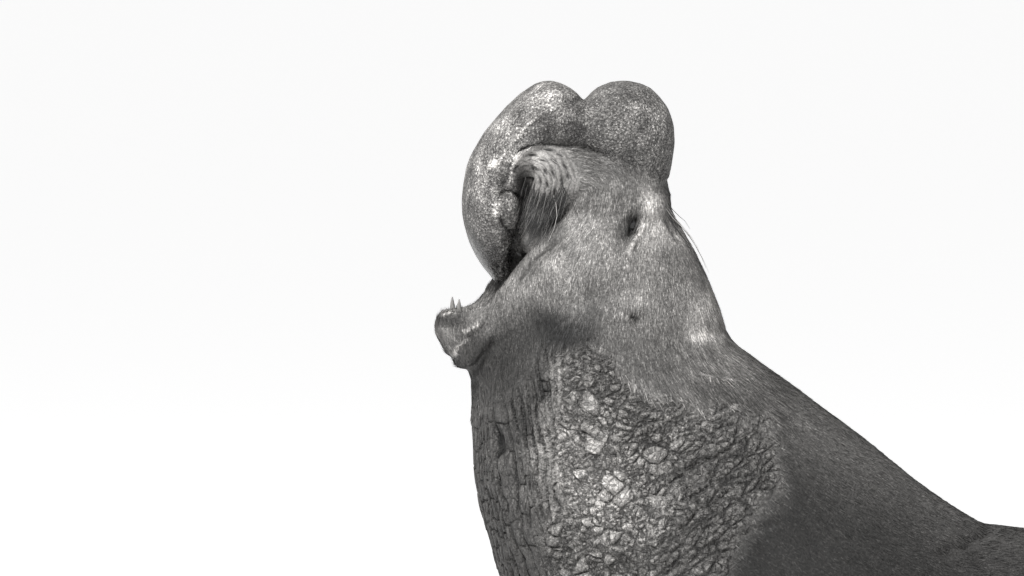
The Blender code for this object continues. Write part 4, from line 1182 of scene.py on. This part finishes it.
def hide_cobbles_group(name):
    """Cobbles with cracks between them: their domed height, how far each spot is in a crack, a number for each."""
    tree, given, end = new_group(
        name,
        "ShaderNodeTree",
        {"Place": "Vector", "Count": 120.0, "Crack": 0.12},
        {"Height": "Float", "Crack": "Float", "Own": "Float"},
    )
    shift = vector_math("SUBTRACT", noise(given["Place"], 60.0, 2.0, output="Color"), (0.5, 0.5, 0.5))
    bent = vector_math("MULTIPLY_ADD", shift, (0.012, 0.012, 0.012), given["Place"])
    cells = {"Vector": bent, "Scale": given["Count"]}
    edge = wire(tree, "ShaderNodeTexVoronoi", cells, "Distance", feature="DISTANCE_TO_EDGE")
    fill(end, {
        "Height": rise(edge, 0.0, 0.45, "SMOOTHERSTEP"),
        "Crack": 1.0 - rise(edge, 0.0, given["Crack"]),
        "Own": wire(tree, "ShaderNodeTexVoronoi", cells, "Color", feature="F1"),
    })
    return tree


def new_material(name):
    """A material whose Principled shader is still plain, with its tree and shader."""
    mat = bpy.data.materials.new(name)
    mat.use_nodes = True
    tree = mat.node_tree
    return mat, tree, tree.nodes["Principled BSDF"]


def object_place(tree):
    return wire(tree, "ShaderNodeTexCoord", output="Object")


def tinted(lightness):
    """A warm grey of that lightness."""
    return vector_math("MULTIPLY", lightness, tuple(bpy.context.scene.seal_hide.tint))


def hide_lightness(tree, place):
    """The lightness of the hide with its grain, as the skin and the coat both have it, and the grain's height."""
    nose = read_value(tree, "nose")
    grain = use_group(hide_grain_group, {"Place": place, "Fine": 190.0, "Broad": 22.0, "Speck": nose * 0.75 + 0.60,
                                         "Mottle": nose * 0.55 + 0.25})
    return read_value(tree, "tone") * grain["Lightness"], grain["Height"]


def skin_material():
    mat, tree, shader = new_material("seal hide")
    place = object_place(tree)
    lightness, fine = hide_lightness(tree, place)
    nose, shield, wet, pad, throat = (read_value(tree, name) for name in ("nose", "shield", "wet", "pad", "throat"))

    # Long sharp cracks round the shield's large plates, with painted shade in the cracks and a painted highlight on
    # each plate's raised middle, and each plate's own lightness
    ragged = noise(place, 260.0, 3.0) - 0.5
    inside = ragged * 0.0042 + read_value(tree, "inside")
    gap = rise(inside, 0.0002, 0.0024)
    lit_top = rise(inside, 0.0006, 0.0040)
    plates = (gap * 0.66 + 0.34) * ((lit_top * 0.34 + 0.74) * (read_value(tree, "plate") * 0.30 + 0.85))

    # Cobbles on the plates, drawn out to long ones on the throat, and folds between the throat's columns, with painted
    # shade in the cobbles' cracks and the throat's furrows
    drawn = wire(tree, "ShaderNodeMapping", {"Vector": place, "Scale": (1.0, 1.0, 0.40)})
    sizes = ((place, 60.0, 0.14), (drawn, 52.0, 0.12), (place, 150.0, 0.22), (place, 150.0, 0.34))
    stones, columns, pebbles, beads = (
        use_group(hide_cobbles_group, {"Place": where, "Count": count, "Crack": crack}) for where, count, crack in sizes
    )
    stone = {label: mix(throat, stones[label], columns[label]) for label in stones}
    across = (ragged * 0.30 + read_value(tree, "column")).math("PINGPONG", 0.5)
    furrow = (1.0 - rise(across, 0.01, 0.12)) * throat
    fold = rise(across, 0.0, 0.42, "SMOOTHERSTEP")
    crack = (stone["Crack"] * -0.60 + 1.0) * (furrow * -0.62 + 1.0)
    plated = mix(shield, 1.0, plates * ((stone["Own"] * 0.50 + 0.75) * crack))
    # Painted shade in the cracks between the shield's pebbles and between the nose's beads
    dark = (pebbles["Crack"] * (shield * 0.24)).maximum(beads["Crack"] * (nose * 0.55))

    # Relief: grain everywhere, plates and cobbles on the shield and beads on the nose
    dry = 1.0 - wet.maximum((pad * 0.75).maximum(shield * 0.70))
    height = noise(place, 190.0, 3.0, 0.65) * (dry * 0.0055)
    for relief, share, rise_height in (
        (pebbles["Height"], shield, 0.0022),
        (stone["Height"], shield, 0.0082),
        (fold, throat, 0.0075),
        (gap, shield, 0.0022),
        (beads["Height"], nose, 0.0026),
    ):
        height = relief * (share * rise_height) + height

    # Dull fur and hide, damp in the mouth and on the rims of the eyes
    fill(shader, {
        "Base Color": tinted(lightness * (1.0 - dark) * plated),
        "Roughness": (fine * 0.25 + 0.60) * (wet * -0.62 + 1.0),
        "Specular IOR Level": 0.25,
        "Normal": wire(tree, "ShaderNodeBump", {"Height": height, "Strength": 1.0, "Distance": 1.0}, "Normal"),
    })
    return mat


def coat_material():
    mat, tree, shader = new_material("seal coat")
    lightness, fine = hide_lightness(tree, object_place(tree))
    own = 2.0 ** (read_value(tree, "own") * 2.1 - 1.1)
    fill(shader, {"Base Color": tinted(lightness * own), "Roughness": fine * 0.2 + 0.55, "Specular IOR Level": 0.25})
    return mat


def hair_material(name, dark, light, share):
    """Stiff hairs: most of them dark and a share of them light."""
    mat, tree, shader = new_material(name)
    pale = read_value(tree, "own").math("LESS_THAN", share)
    fill(shader, {"Base Color": tinted(pale * (light - dark) + dark), "Roughness": 0.45})
    return mat


def plain_material(name, tone, roughness, coat=0.0):
    """One even grey with a little grain in its roughness, under a wet film where coat is above 0."""
    mat, tree, shader = new_material(name)
    grain = noise(object_place(tree), 180.0, 3.0)
    fill(shader, {
        "Base Color": tinted(grain * (tone * 0.7) + tone * 0.65),
        "Roughness": grain * 0.15 + roughness,
        "Coat Weight": coat,
        "Coat Roughness": 0.06,
    })
    return mat


def named_value(tree, name, kind="FLOAT"):
    return wire(tree, "GeometryNodeInputNamedAttribute", {"Name": name}, "Attribute", data_type=kind)


def keep_value(tree, geometry, name, value, kind, domain="POINT"):
    """The geometry with the value kept on it under a name."""
    inputs = {"Geometry": geometry, "Name": name, "Value": value}
    return wire(tree, "GeometryNodeStoreNamedAttribute", inputs, "Geometry", data_type=kind, domain=domain)


def end_tree(tree, end, geometry, mat):
    """Ends a Geometry Nodes tree with real geometry in its material."""
    fill(end, {"Geometry": wire(tree, "GeometryNodeSetMaterial", {"Geometry": geometry, "Material": mat}, "Geometry")})
    return tree


def coat_tree():
    """Sets thin tufts over a surface, along its lie: the surface comes in and the tufts alone go out."""
    tree, given, end = new_group(
        "lay coat",
        "GeometryNodeTree",
        {"Geometry": "Geometry", "Density": 9000.0, "Length": 0.012, "Width": 0.002, "Lift": 0.2, "Seed": 1,
         "Material": "Material"},
        {"Geometry": "Geometry"},
    )
    width, seed = given["Width"], given["Seed"]
    spread = add_node(tree, "GeometryNodeDistributePointsOnFaces", {
        "Mesh": given["Geometry"], "Density": named_value(tree, "fur") * given["Density"], "Seed": seed})
    turn = wire(tree, "FunctionNodeAxesToRotation", {
        "Primary Axis": Wire(spread.outputs["Normal"]), "Secondary Axis": named_value(tree, "lie", "FLOAT_VECTOR")},
        primary_axis="Z", secondary_axis="X")
    sway = wire(tree, "FunctionNodeRandomValue", {"Min": (-0.10, -1.5, -0.30), "Max": (0.10, -0.5, 0.30), "Seed": seed},
                data_type="FLOAT_VECTOR")
    lifted = wire(tree, "ShaderNodeCombineXYZ", {"X": 1.0, "Y": given["Lift"], "Z": 1.0})
    tilt = wire(tree, "FunctionNodeEulerToRotation", {0: vector_math("MULTIPLY", sway, lifted)})
    turned = wire(tree, "FunctionNodeRotateRotation", {0: turn, 1: tilt}, rotation_space="LOCAL")
    cone = wire(tree, "GeometryNodeMeshCone", {
        "Vertices": 3, "Side Segments": 1, "Radius Top": 0.0, "Radius Bottom": 0.5, "Depth": 1.0}, "Mesh",
        fill_type="NGON")
    laid = wire(tree, "GeometryNodeTransform", {
        "Geometry": cone, "Translation": (-0.08, 0.0, 0.0), "Rotation": (0.0, math.pi / 2, 0.0)}, "Geometry")
    patched = keep_value(tree, laid, "patch", wire(tree, "GeometryNodeInputPosition"), "FLOAT_VECTOR")
    vary = wire(tree, "FunctionNodeRandomValue", {2: 0.55, 3: 1.25, "Seed": seed}, 1, data_type="FLOAT")
    size = wire(tree, "ShaderNodeCombineXYZ", {"X": given["Length"] * vary, "Y": width, "Z": width * 0.45})
    own = wire(tree, "FunctionNodeRandomValue", {2: 0.0, 3: 1.0, "Seed": 77}, 1, data_type="FLOAT")
    owned = keep_value(tree, Wire(spread.outputs["Points"]), "own", own, "FLOAT")
    placed = wire(tree, "GeometryNodeInstanceOnPoints", {
        "Points": owned, "Instance": patched, "Rotation": turned, "Scale": size}, "Instances")
    real = wire(tree, "GeometryNodeRealizeInstances", {"Geometry": placed}, "Geometry")
    spot = vector_math("MULTIPLY_ADD", named_value(tree, "patch", "FLOAT_VECTOR"), (0.0015, 0.003, 0.0),
                       named_value(tree, "unwrap", "FLOAT_VECTOR"))
    return end_tree(tree, end, keep_value(tree, real, "OFBake", spot, "FLOAT2", "CORNER"), given["Material"])


def hair_tree():
    """Gives thickness to hairs drawn as chains of edges."""
    tree, given, end = new_group(
        "grow hairs",
        "GeometryNodeTree",
        {"Geometry": "Geometry", "Sides": 5, "Material": "Material"},
        {"Geometry": "Geometry"},
    )
    lines = wire(tree, "GeometryNodeMeshToCurve", {"Mesh": given["Geometry"]}, "Curve")
    ring = wire(tree, "GeometryNodeCurvePrimitiveCircle", {"Resolution": given["Sides"], "Radius": 1.0}, "Curve")
    tube = wire(tree, "GeometryNodeCurveToMesh", {
        "Curve": lines, "Profile Curve": ring, "Fill Caps": True, "Scale": named_value(tree, "thick")}, "Mesh")
    real = wire(tree, "GeometryNodeRealizeInstances", {"Geometry": tube}, "Geometry")
    return end_tree(tree, end, real, given["Material"])


def photo_ray(u, v):
    """The direction from the camera through a spot in the photograph."""
    ray = CAMERA_RIGHT * (u - PHOTO_WIDTH / 2) * PIXEL + CAMERA_UP * (PHOTO_HEIGHT / 2 - v) * PIXEL
    return (ray - CAMERA_BACK * CAMERA_DISTANCE).normalized()


def lay_hair(surface, path, lift, droop=0.006):
    """Points along a path in the photograph, a little above the skin; a hair hangs free where the skin falls away."""
    points = []
    reach = None
    for step, (u, v) in enumerate(path):
        ray = photo_ray(u, v)
        _, _, _, distance = surface.ray_cast(CAMERA_PLACE, ray)
        above = lift * min(step / 2, 1.0) - (0.003 if step == 0 else 0.0)
        if distance is None:
            if reach is None:
                return []
        else:
            wanted = distance - above
            reach = wanted if reach is None else min(wanted, reach + droop)
        points.append(CAMERA_PLACE + ray * reach)
    return points


def hair_object(name, hairs, mat):
    """One piece of both sides' hairs from lists of points, root radius and random number."""
    places, edges, thick, own = [], [], [], []
    for points, radius, number in hairs:
        for side in (1, -1):
            first = len(places)
            for step, point in enumerate(points):
                share = step / (len(points) - 1)
                places.append((point.x, point.y * side, point.z))
                thick.append(radius * (1 - 0.75 * share))
                own.append(number)
                if step:
                    edges.append((first + step - 1, first + step))
    mesh = bpy.data.meshes.new(name)
    mesh.from_pydata(places, edges, [])
    store_value(mesh, "thick", np.array(thick))
    store_value(mesh, "own", np.array(own))
    piece = add_object(name, mesh)
    tree = bpy.data.node_groups.get("grow hairs") or hair_tree()
    run_tree(piece, tree, {"Sides": 5, "Material": mat})
    with editing(piece.data) as bm:
        bmesh.ops.recalc_face_normals(bm, faces=bm.faces)
    return piece


def skin_surface():
    """The finished skin, to lay hairs on."""
    mesh = bpy.data.objects["seal_skin"].data
    return BVHTree.FromPolygons([v.co for v in mesh.vertices], [p.vertices for p in mesh.polygons])


# The dark fringe below the whisker pad: where its strands grow, in pixels
FRINGE_ROOTS = ((527, 196), (533, 200), (541, 205), (550, 208), (559, 205), (566, 196))
# Whiskers that stand out from the pad, as paths in pixels
PAD_WHISKERS = (
    ((561, 182), (564, 189), (568, 195), (572, 203), (577, 214), (579, 222)),
    ((560, 190), (564, 199), (567, 210), (566, 222)),
    ((553, 194), (556, 204), (557, 216), (554, 229), (548, 242)),
    ((545, 199), (546, 210), (545, 222), (541, 236), (535, 248)),
    ((536, 202), (536, 214), (534, 228), (529, 243), (524, 254)),
)
# Long hairs above the eye, as paths in pixels that end beyond the back of the head
BROW_HAIRS = (
    ((667, 202), (673, 210), (680, 217), (685, 221), (690, 229)),
    ((668, 208), (676, 219), (684, 228), (692, 238), (699, 250)),
    ((670, 212), (678, 223), (687, 233), (695, 245), (702, 258), (706, 268)),
    ((672, 214), (681, 226), (689, 236), (697, 248), (704, 261), (709, 273)),
    ((666, 214), (674, 226), (683, 238), (692, 252), (699, 266)),
    ((670, 220), (680, 233), (690, 246), (698, 260), (704, 272)),
    ((664, 206), (672, 217), (681, 226), (689, 235), (697, 246)),
    ((662, 216), (668, 229), (676, 242), (684, 254)),
)


# How high hairs stand off the skin, in metres, and how far those over the eyes may leave it at each step
FRINGE_LIFT = 0.004
STUB_LIFT = 0.0015
WHISKER_LIFT = 0.010
BROW_LIFT = 0.012
BROW_DROOP = 0.02


def fringe_paths(count):
    """Random paths of the fringe's strands, down and slightly forward from the foot of the pad."""
    rng = np.random.default_rng(5)
    roots = np.array(FRINGE_ROOTS, float)
    paths = []
    for _ in range(count):
        place = rng.uniform(0, len(roots) - 1)
        root = np.array([np.interp(place, range(len(roots)), roots[:, axis]) for axis in (0, 1)])
        root += rng.normal(0, (2.2, 4.0)) - (0, 16 * rng.random() ** 2)
        length = rng.uniform(14, 40) * (1.0 if place < 3.5 else 0.75)
        lean = rng.normal(0.16 + 0.10 * place / 5, 0.07)
        bend = rng.normal(0.10, 0.06)
        steps = max(int(length / 5), 3)
        path = []
        for step in range(steps + 1):
            share = step / steps
            path.append((root[0] - length * (lean * share + bend * share * share), root[1] + length * share))
        paths.append(path)
    return paths, rng


# Teeth and claws, in metres
TIP_RADIUS = 0.0012
TOOTH_RADIUS = 0.0105
TOOTH_BOW = 0.004
CLAW_RADIUS = 0.0112
CLAW_LENGTH = 0.058
CLAW_BURIED = 0.042
CLAW_HEIGHT = 0.0245
CLAW_DROP = 0.018


def tapered(bm, points, radii, sides=14):
    """A smooth closed horn of round sections along points."""
    rings = []
    points = [Vector(point) for point in points]
    for index, (point, radius) in enumerate(zip(points, radii)):
        ahead = points[min(index + 1, len(points) - 1)] - points[max(index - 1, 0)]
        turn = ahead.to_track_quat("Z", "Y")
        ring = []
        for step in range(sides):
            angle = 2 * math.pi * step / sides
            ring.append(bm.verts.new(point + turn @ Vector((math.cos(angle), math.sin(angle), 0)) * radius))
        rings.append(ring)
    for ring, ahead in zip(rings, rings[1:]):
        for step in range(sides):
            bm.faces.new((ring[step], ring[(step + 1) % sides], ahead[(step + 1) % sides], ahead[step]))
    bm.faces.new(list(reversed(rings[0])))
    bm.faces.new(rings[-1])


def horn_object(name, horns, mat):
    """One piece of horns, each given by its points and radii."""
    mesh = bpy.data.meshes.new(name)
    with editing(mesh) as bm:
        for points, radii in horns:
            tapered(bm, points, radii)
        bmesh.ops.recalc_face_normals(bm, faces=bm.faces)
    dress(mesh, mat)
    return add_object(name, mesh)


def set_input(modifier, name, value):
    """Sets a Geometry Nodes modifier's input by its socket's identifier."""
    for item in modifier.node_group.interface.items_tree:
        if item.item_type == "SOCKET" and item.in_out == "INPUT" and item.name == name:
            modifier[item.identifier] = value
            return
    raise ValueError(f"the tree has no input named {name}")


def run_tree(obj, tree, inputs):
    """Turns the object into the plain mesh that a Geometry Nodes tree makes of it."""
    modifier = obj.modifiers.new("nodes", "NODES")
    modifier.node_group = tree
    for name, value in inputs.items():
        set_input(modifier, name, value)
    settle(obj)


# The coat's pieces: tufts to the square metre, length and width in metres, and lift in radians
COATS = {
    "coat_head": (42000, 0.0170, 0.0026, 0.10),
    "coat_neck": (42000, 0.0270, 0.0028, 0.09),
    "coat_shoulders": (21000, 0.0130, 0.0032, 0.13),
    "coat_back": (18000, 0.0150, 0.0034, 0.13),
    "coat_flanks": (18000, 0.0150, 0.0034, 0.13),
    "coat_rear": (18000, 0.0140, 0.0032, 0.13),
    "coat_flippers": (26000, 0.0100, 0.0024, 0.12),
}


# Where the coat's pieces meet, in metres
HEAD_END = -2.26
NECK_END = -1.95
SHOULDERS_END = -0.95
REAR_START = 0.75
FLANK_TOP = 0.42


def coat_regions(points):
    """The share of each point that each coat piece covers."""
    x, z = points[:, 0], points[:, 2]
    limb = limb_share(points)
    tests = (x * 0.6 - z < HEAD_END, x - 0.55 * z < NECK_END, x < SHOULDERS_END, x > REAR_START, z > FLANK_TOP)
    names = ("coat_head", "coat_neck", "coat_shoulders", "coat_rear", "coat_back", "coat_flanks")
    which = np.select(tests, range(len(tests)), len(tests))
    shares = {name: (which == index) * (1 - limb) for index, name in enumerate(names)}
    return {**shares, "coat_flippers": limb}


class SEAL_OT_skin(bpy.types.Operator):
    """Builds the skin over all nodes of flesh"""

    bl_idname = "seal.skin"
    bl_label = "Skin"

    def execute(self, context):
        skin = build_skin(context.scene.seal_hide)
        dress(skin.data, skin_material())
        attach(skin, "root")
        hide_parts(*FLESH)
        return {"FINISHED"}


class SEAL_OT_coat(bpy.types.Operator):
    """Lays the short coat over the skin in tufts, one piece for each part of the animal"""

    bl_idname = "seal.coat"
    bl_label = "Coat"

    def execute(self, context):
        skin = bpy.data.objects["seal_skin"]
        fur = read_all(skin.data.attributes["fur"].data, "value", 1)[:, 0]
        coat = context.scene.seal_coat
        tree = coat_tree()
        mat = coat_material()
        regions = coat_regions(points_of(skin.data))
        for name, (density, length, width, lift) in COATS.items():
            piece = add_object(name, skin.data.copy())
            store_value(piece.data, "fur", fur * regions[name])
            run_tree(piece, tree, {
                "Density": density * coat.density, "Length": length * coat.length, "Width": width, "Lift": lift,
                "Seed": len(name) + coat.seed, "Material": mat})
            for key in ("lie", "unwrap", "patch", "fur", "nose", "shield", "pad", "wet"):
                piece.data.attributes.remove(piece.data.attributes[key])
            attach(piece, "root")
        return {"FINISHED"}


class SEAL_OT_whiskers(bpy.types.Operator):
    """Grows the whiskers, the fringe below the pad and the long hairs over the eyes"""

    bl_idname = "seal.whiskers"
    bl_label = "Whiskers"

    def execute(self, context):
        sizes = context.scene.seal_whiskers
        surface = skin_surface()
        paths, rng = fringe_paths(sizes.strands)

        def hairs_along(lines, lift, radius, droop=0.006):
            return [(lay_hair(surface, line, lift, droop), radius, rng.random()) for line in lines]

        fringe = hairs_along(paths, FRINGE_LIFT, sizes.strand_radius)
        slots = []
        for u, v, turn, length in FOLLICLES:
            angle = math.radians(turn)
            reach = np.array([math.cos(angle), -math.sin(angle)]) * length * 0.55
            reach *= 1 if reach[1] > 0 else -1
            slots.append([(u - reach[0], v - reach[1]), (u, v), (u + reach[0], v + reach[1])])
        stubs = hairs_along(slots, STUB_LIFT, sizes.whisker_radius)
        whiskers = hairs_along(PAD_WHISKERS, WHISKER_LIFT, sizes.whisker_radius)
        brows = hairs_along(BROW_HAIRS, BROW_LIFT, sizes.whisker_radius * 0.9, BROW_DROOP)
        for name, hairs, mat in (
            ("fringe", fringe, hair_material("fringe hair", 0.012, 0.120, 0.22)),
            ("pad_whiskers", stubs + whiskers, hair_material("whisker", 0.012, 0.300, 0.12)),
            ("brow_whiskers", brows, hair_material("brow whisker", 0.030, 0.260, 0.45)),
        ):
            piece = hair_object(name, [hair for hair in hairs if len(hair[0]) > 2], mat)
            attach(piece, "root")
        return {"FINISHED"}


class SEAL_OT_mouth(bpy.types.Operator):
    """Smooths the tongue and rounds the canines"""

    bl_idname = "seal.mouth"
    bl_label = "Tongue and teeth"

    def execute(self, context):
        tongue = add_object("tongue_flesh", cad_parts["tongue"].data.copy())
        remesh(tongue, 0.004)
        smooth = tongue.modifiers.new("soften", "SMOOTH")
        smooth.iterations = 10
        settle(tongue)
        dress(tongue.data, plain_material("wet tongue", 0.10, 0.30, 0.4))
        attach(tongue, "root")
        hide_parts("tongue")
        mat = plain_material("old tooth", 0.13, 0.40)
        for name in ("canine_left", "canine_right"):
            points = points_of(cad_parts[name].data)
            foot = points[points[:, 2] < points[:, 2].min() + 0.012].mean(axis=0)
            tip = points[points[:, 2] > points[:, 2].max() - 0.003].mean(axis=0)
            steps = np.linspace(0, 1, 9)
            path = [foot * (1 - step) + tip * step - (TOOTH_BOW * math.sin(math.pi * step), 0, 0) for step in steps]
            radii = [TOOTH_RADIUS * (1 - step) ** 0.75 + TIP_RADIUS for step in steps]
            tooth = horn_object(name + "_smooth", [(path, radii)], mat)
            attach(tooth, "root")
            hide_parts(name)
        return {"FINISHED"}


class SEAL_OT_claws(bpy.types.Operator):
    """Shapes the claws on the foreflippers"""

    bl_idname = "seal.claws"
    bl_label = "Claws"

    def execute(self, context):
        mat = plain_material("claw", 0.030, 0.35)
        for name, side in (("claws_left", -1), ("claws_right", 1)):
            horns = []
            for x, y in CLAW_TIPS:
                heading = (Vector((x, y)) - Vector(CLAW_ROOT)).normalized()
                path, radii = [], []
                for step in np.linspace(0, 1, 8):
                    spot = Vector((x, y)) + heading * (CLAW_LENGTH * step - CLAW_BURIED)
                    path.append((spot.x, spot.y * side, CLAW_HEIGHT - CLAW_DROP * step * step))
                    radii.append(CLAW_RADIUS * (1 - step**2.2) + TIP_RADIUS)
                horns.append((path, radii))
            piece = horn_object(name, horns, mat)
            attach(piece, "root")
        return {"FINISHED"}


class SEAL_OT_eyes(bpy.types.Operator):
    """Gives the eyeballs a dark wet surface"""

    bl_idname = "seal.eyes"
    bl_label = "Eyes"

    def execute(self, context):
        mat = plain_material("wet eye", 0.006, 0.10, 0.5)
        for name in EYES:
            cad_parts[name].data.materials.clear()
            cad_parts[name].data.materials.append(mat)
        return {"FINISHED"}


# The floor's half width, and where the large lamp stands and points, in metres
FLOOR_HALF = 400
KEY_PLACE = (-5.0, -4.5, 8.5)
KEY_TARGET = (-1.2, 0, 1.2)


class SEAL_OT_stage(bpy.types.Operator):
    """Makes the pale floor, the soft lights and the camera"""

    bl_idname = "seal.stage"
    bl_label = "Floor, lights and camera"

    def execute(self, context):
        stage = context.scene.seal_stage
        mesh = bpy.data.meshes.new("floor")
        with editing(mesh) as bm:
            bmesh.ops.create_grid(bm, x_segments=1, y_segments=1, size=FLOOR_HALF)
        floor = add_object("floor", mesh)
        white = (1, 1, 1, 1)
        mat, _, shader = new_material("floor")
        fill(shader, {"Base Color": (stage.floor, stage.floor, stage.floor, 1), "Emission Color": white,
                      "Emission Strength": stage.glow})
        mesh.materials.append(mat)
        world = bpy.data.worlds.new("sky")
        world.use_nodes = True
        fill(world.node_tree.nodes["Background"], {"Color": white, "Strength": stage.sky})
        context.scene.world = world
        light = bpy.data.lights.new("key", "AREA")
        light.shape = "DISK"
        light.size = stage.key_size
        light.energy = stage.key_power
        key = bpy.data.objects.new("key", light)
        key.location = KEY_PLACE
        key.rotation_mode = "QUATERNION"
        key.rotation_quaternion = (Vector(KEY_TARGET) - key.location).to_track_quat("-Z", "Y")
        context.scene.collection.objects.link(key)
        cam = bpy.data.cameras.new("camera")
        camera = bpy.data.objects.new("camera", cam)
        context.scene.collection.objects.link(camera)
        camera.location = CAMERA_PLACE
        camera.rotation_mode = "QUATERNION"
        camera.rotation_quaternion = (-CAMERA_BACK).to_track_quat("-Z", "Y")
        cam.sensor_width = SENSOR
        cam.lens = SENSOR * CAMERA_DISTANCE / (PHOTO_WIDTH * PIXEL)
        cam.clip_end = 1000
        context.scene.camera = camera
        context.scene.view_settings.view_transform = "Standard"
        return {"FINISHED"}


class SEAL_PT_panel(bpy.types.Panel):
    """Lists the pieces and their settings"""

    bl_idname = "SEAL_PT_panel"
    bl_label = "Elephant seal"
    bl_space_type = "VIEW_3D"
    bl_region_type = "UI"
    bl_category = "Seal"

    def draw(self, context):
        for names, settings in (
            (("skin",), context.scene.seal_hide),
            (("coat",), context.scene.seal_coat),
            (("whiskers",), context.scene.seal_whiskers),
            (("mouth", "claws", "eyes"), None),
            (("stage",), context.scene.seal_stage),
        ):
            box = self.layout.box()
            for key in settings.__annotations__ if settings else ():
                box.prop(settings, key)
            for name in names:
                box.operator(f"seal.{name}")


SETTINGS = {"seal_hide": SealHide, "seal_coat": SealCoat, "seal_whiskers": SealWhiskers, "seal_stage": SealStage}
CLASSES = (
    SealHide,
    SealCoat,
    SealWhiskers,
    SealStage,
    SEAL_OT_skin,
    SEAL_OT_coat,
    SEAL_OT_whiskers,
    SEAL_OT_mouth,
    SEAL_OT_claws,
    SEAL_OT_eyes,
    SEAL_OT_stage,
    SEAL_PT_panel,
)


def register():
    for cls in CLASSES:
        bpy.utils.register_class(cls)
    for name, cls in SETTINGS.items():
        setattr(bpy.types.Scene, name, PointerProperty(type=cls))


def unregister():
    for name in SETTINGS:
        delattr(bpy.types.Scene, name)
    for cls in reversed(CLASSES):
        bpy.utils.unregister_class(cls)


def main():
    register()
    bpy.ops.seal.skin()
    bpy.ops.seal.coat()
    bpy.ops.seal.whiskers()
    bpy.ops.seal.mouth()
    bpy.ops.seal.claws()
    bpy.ops.seal.eyes()
    bpy.ops.seal.stage()


if __name__ == "__main__":
    main()
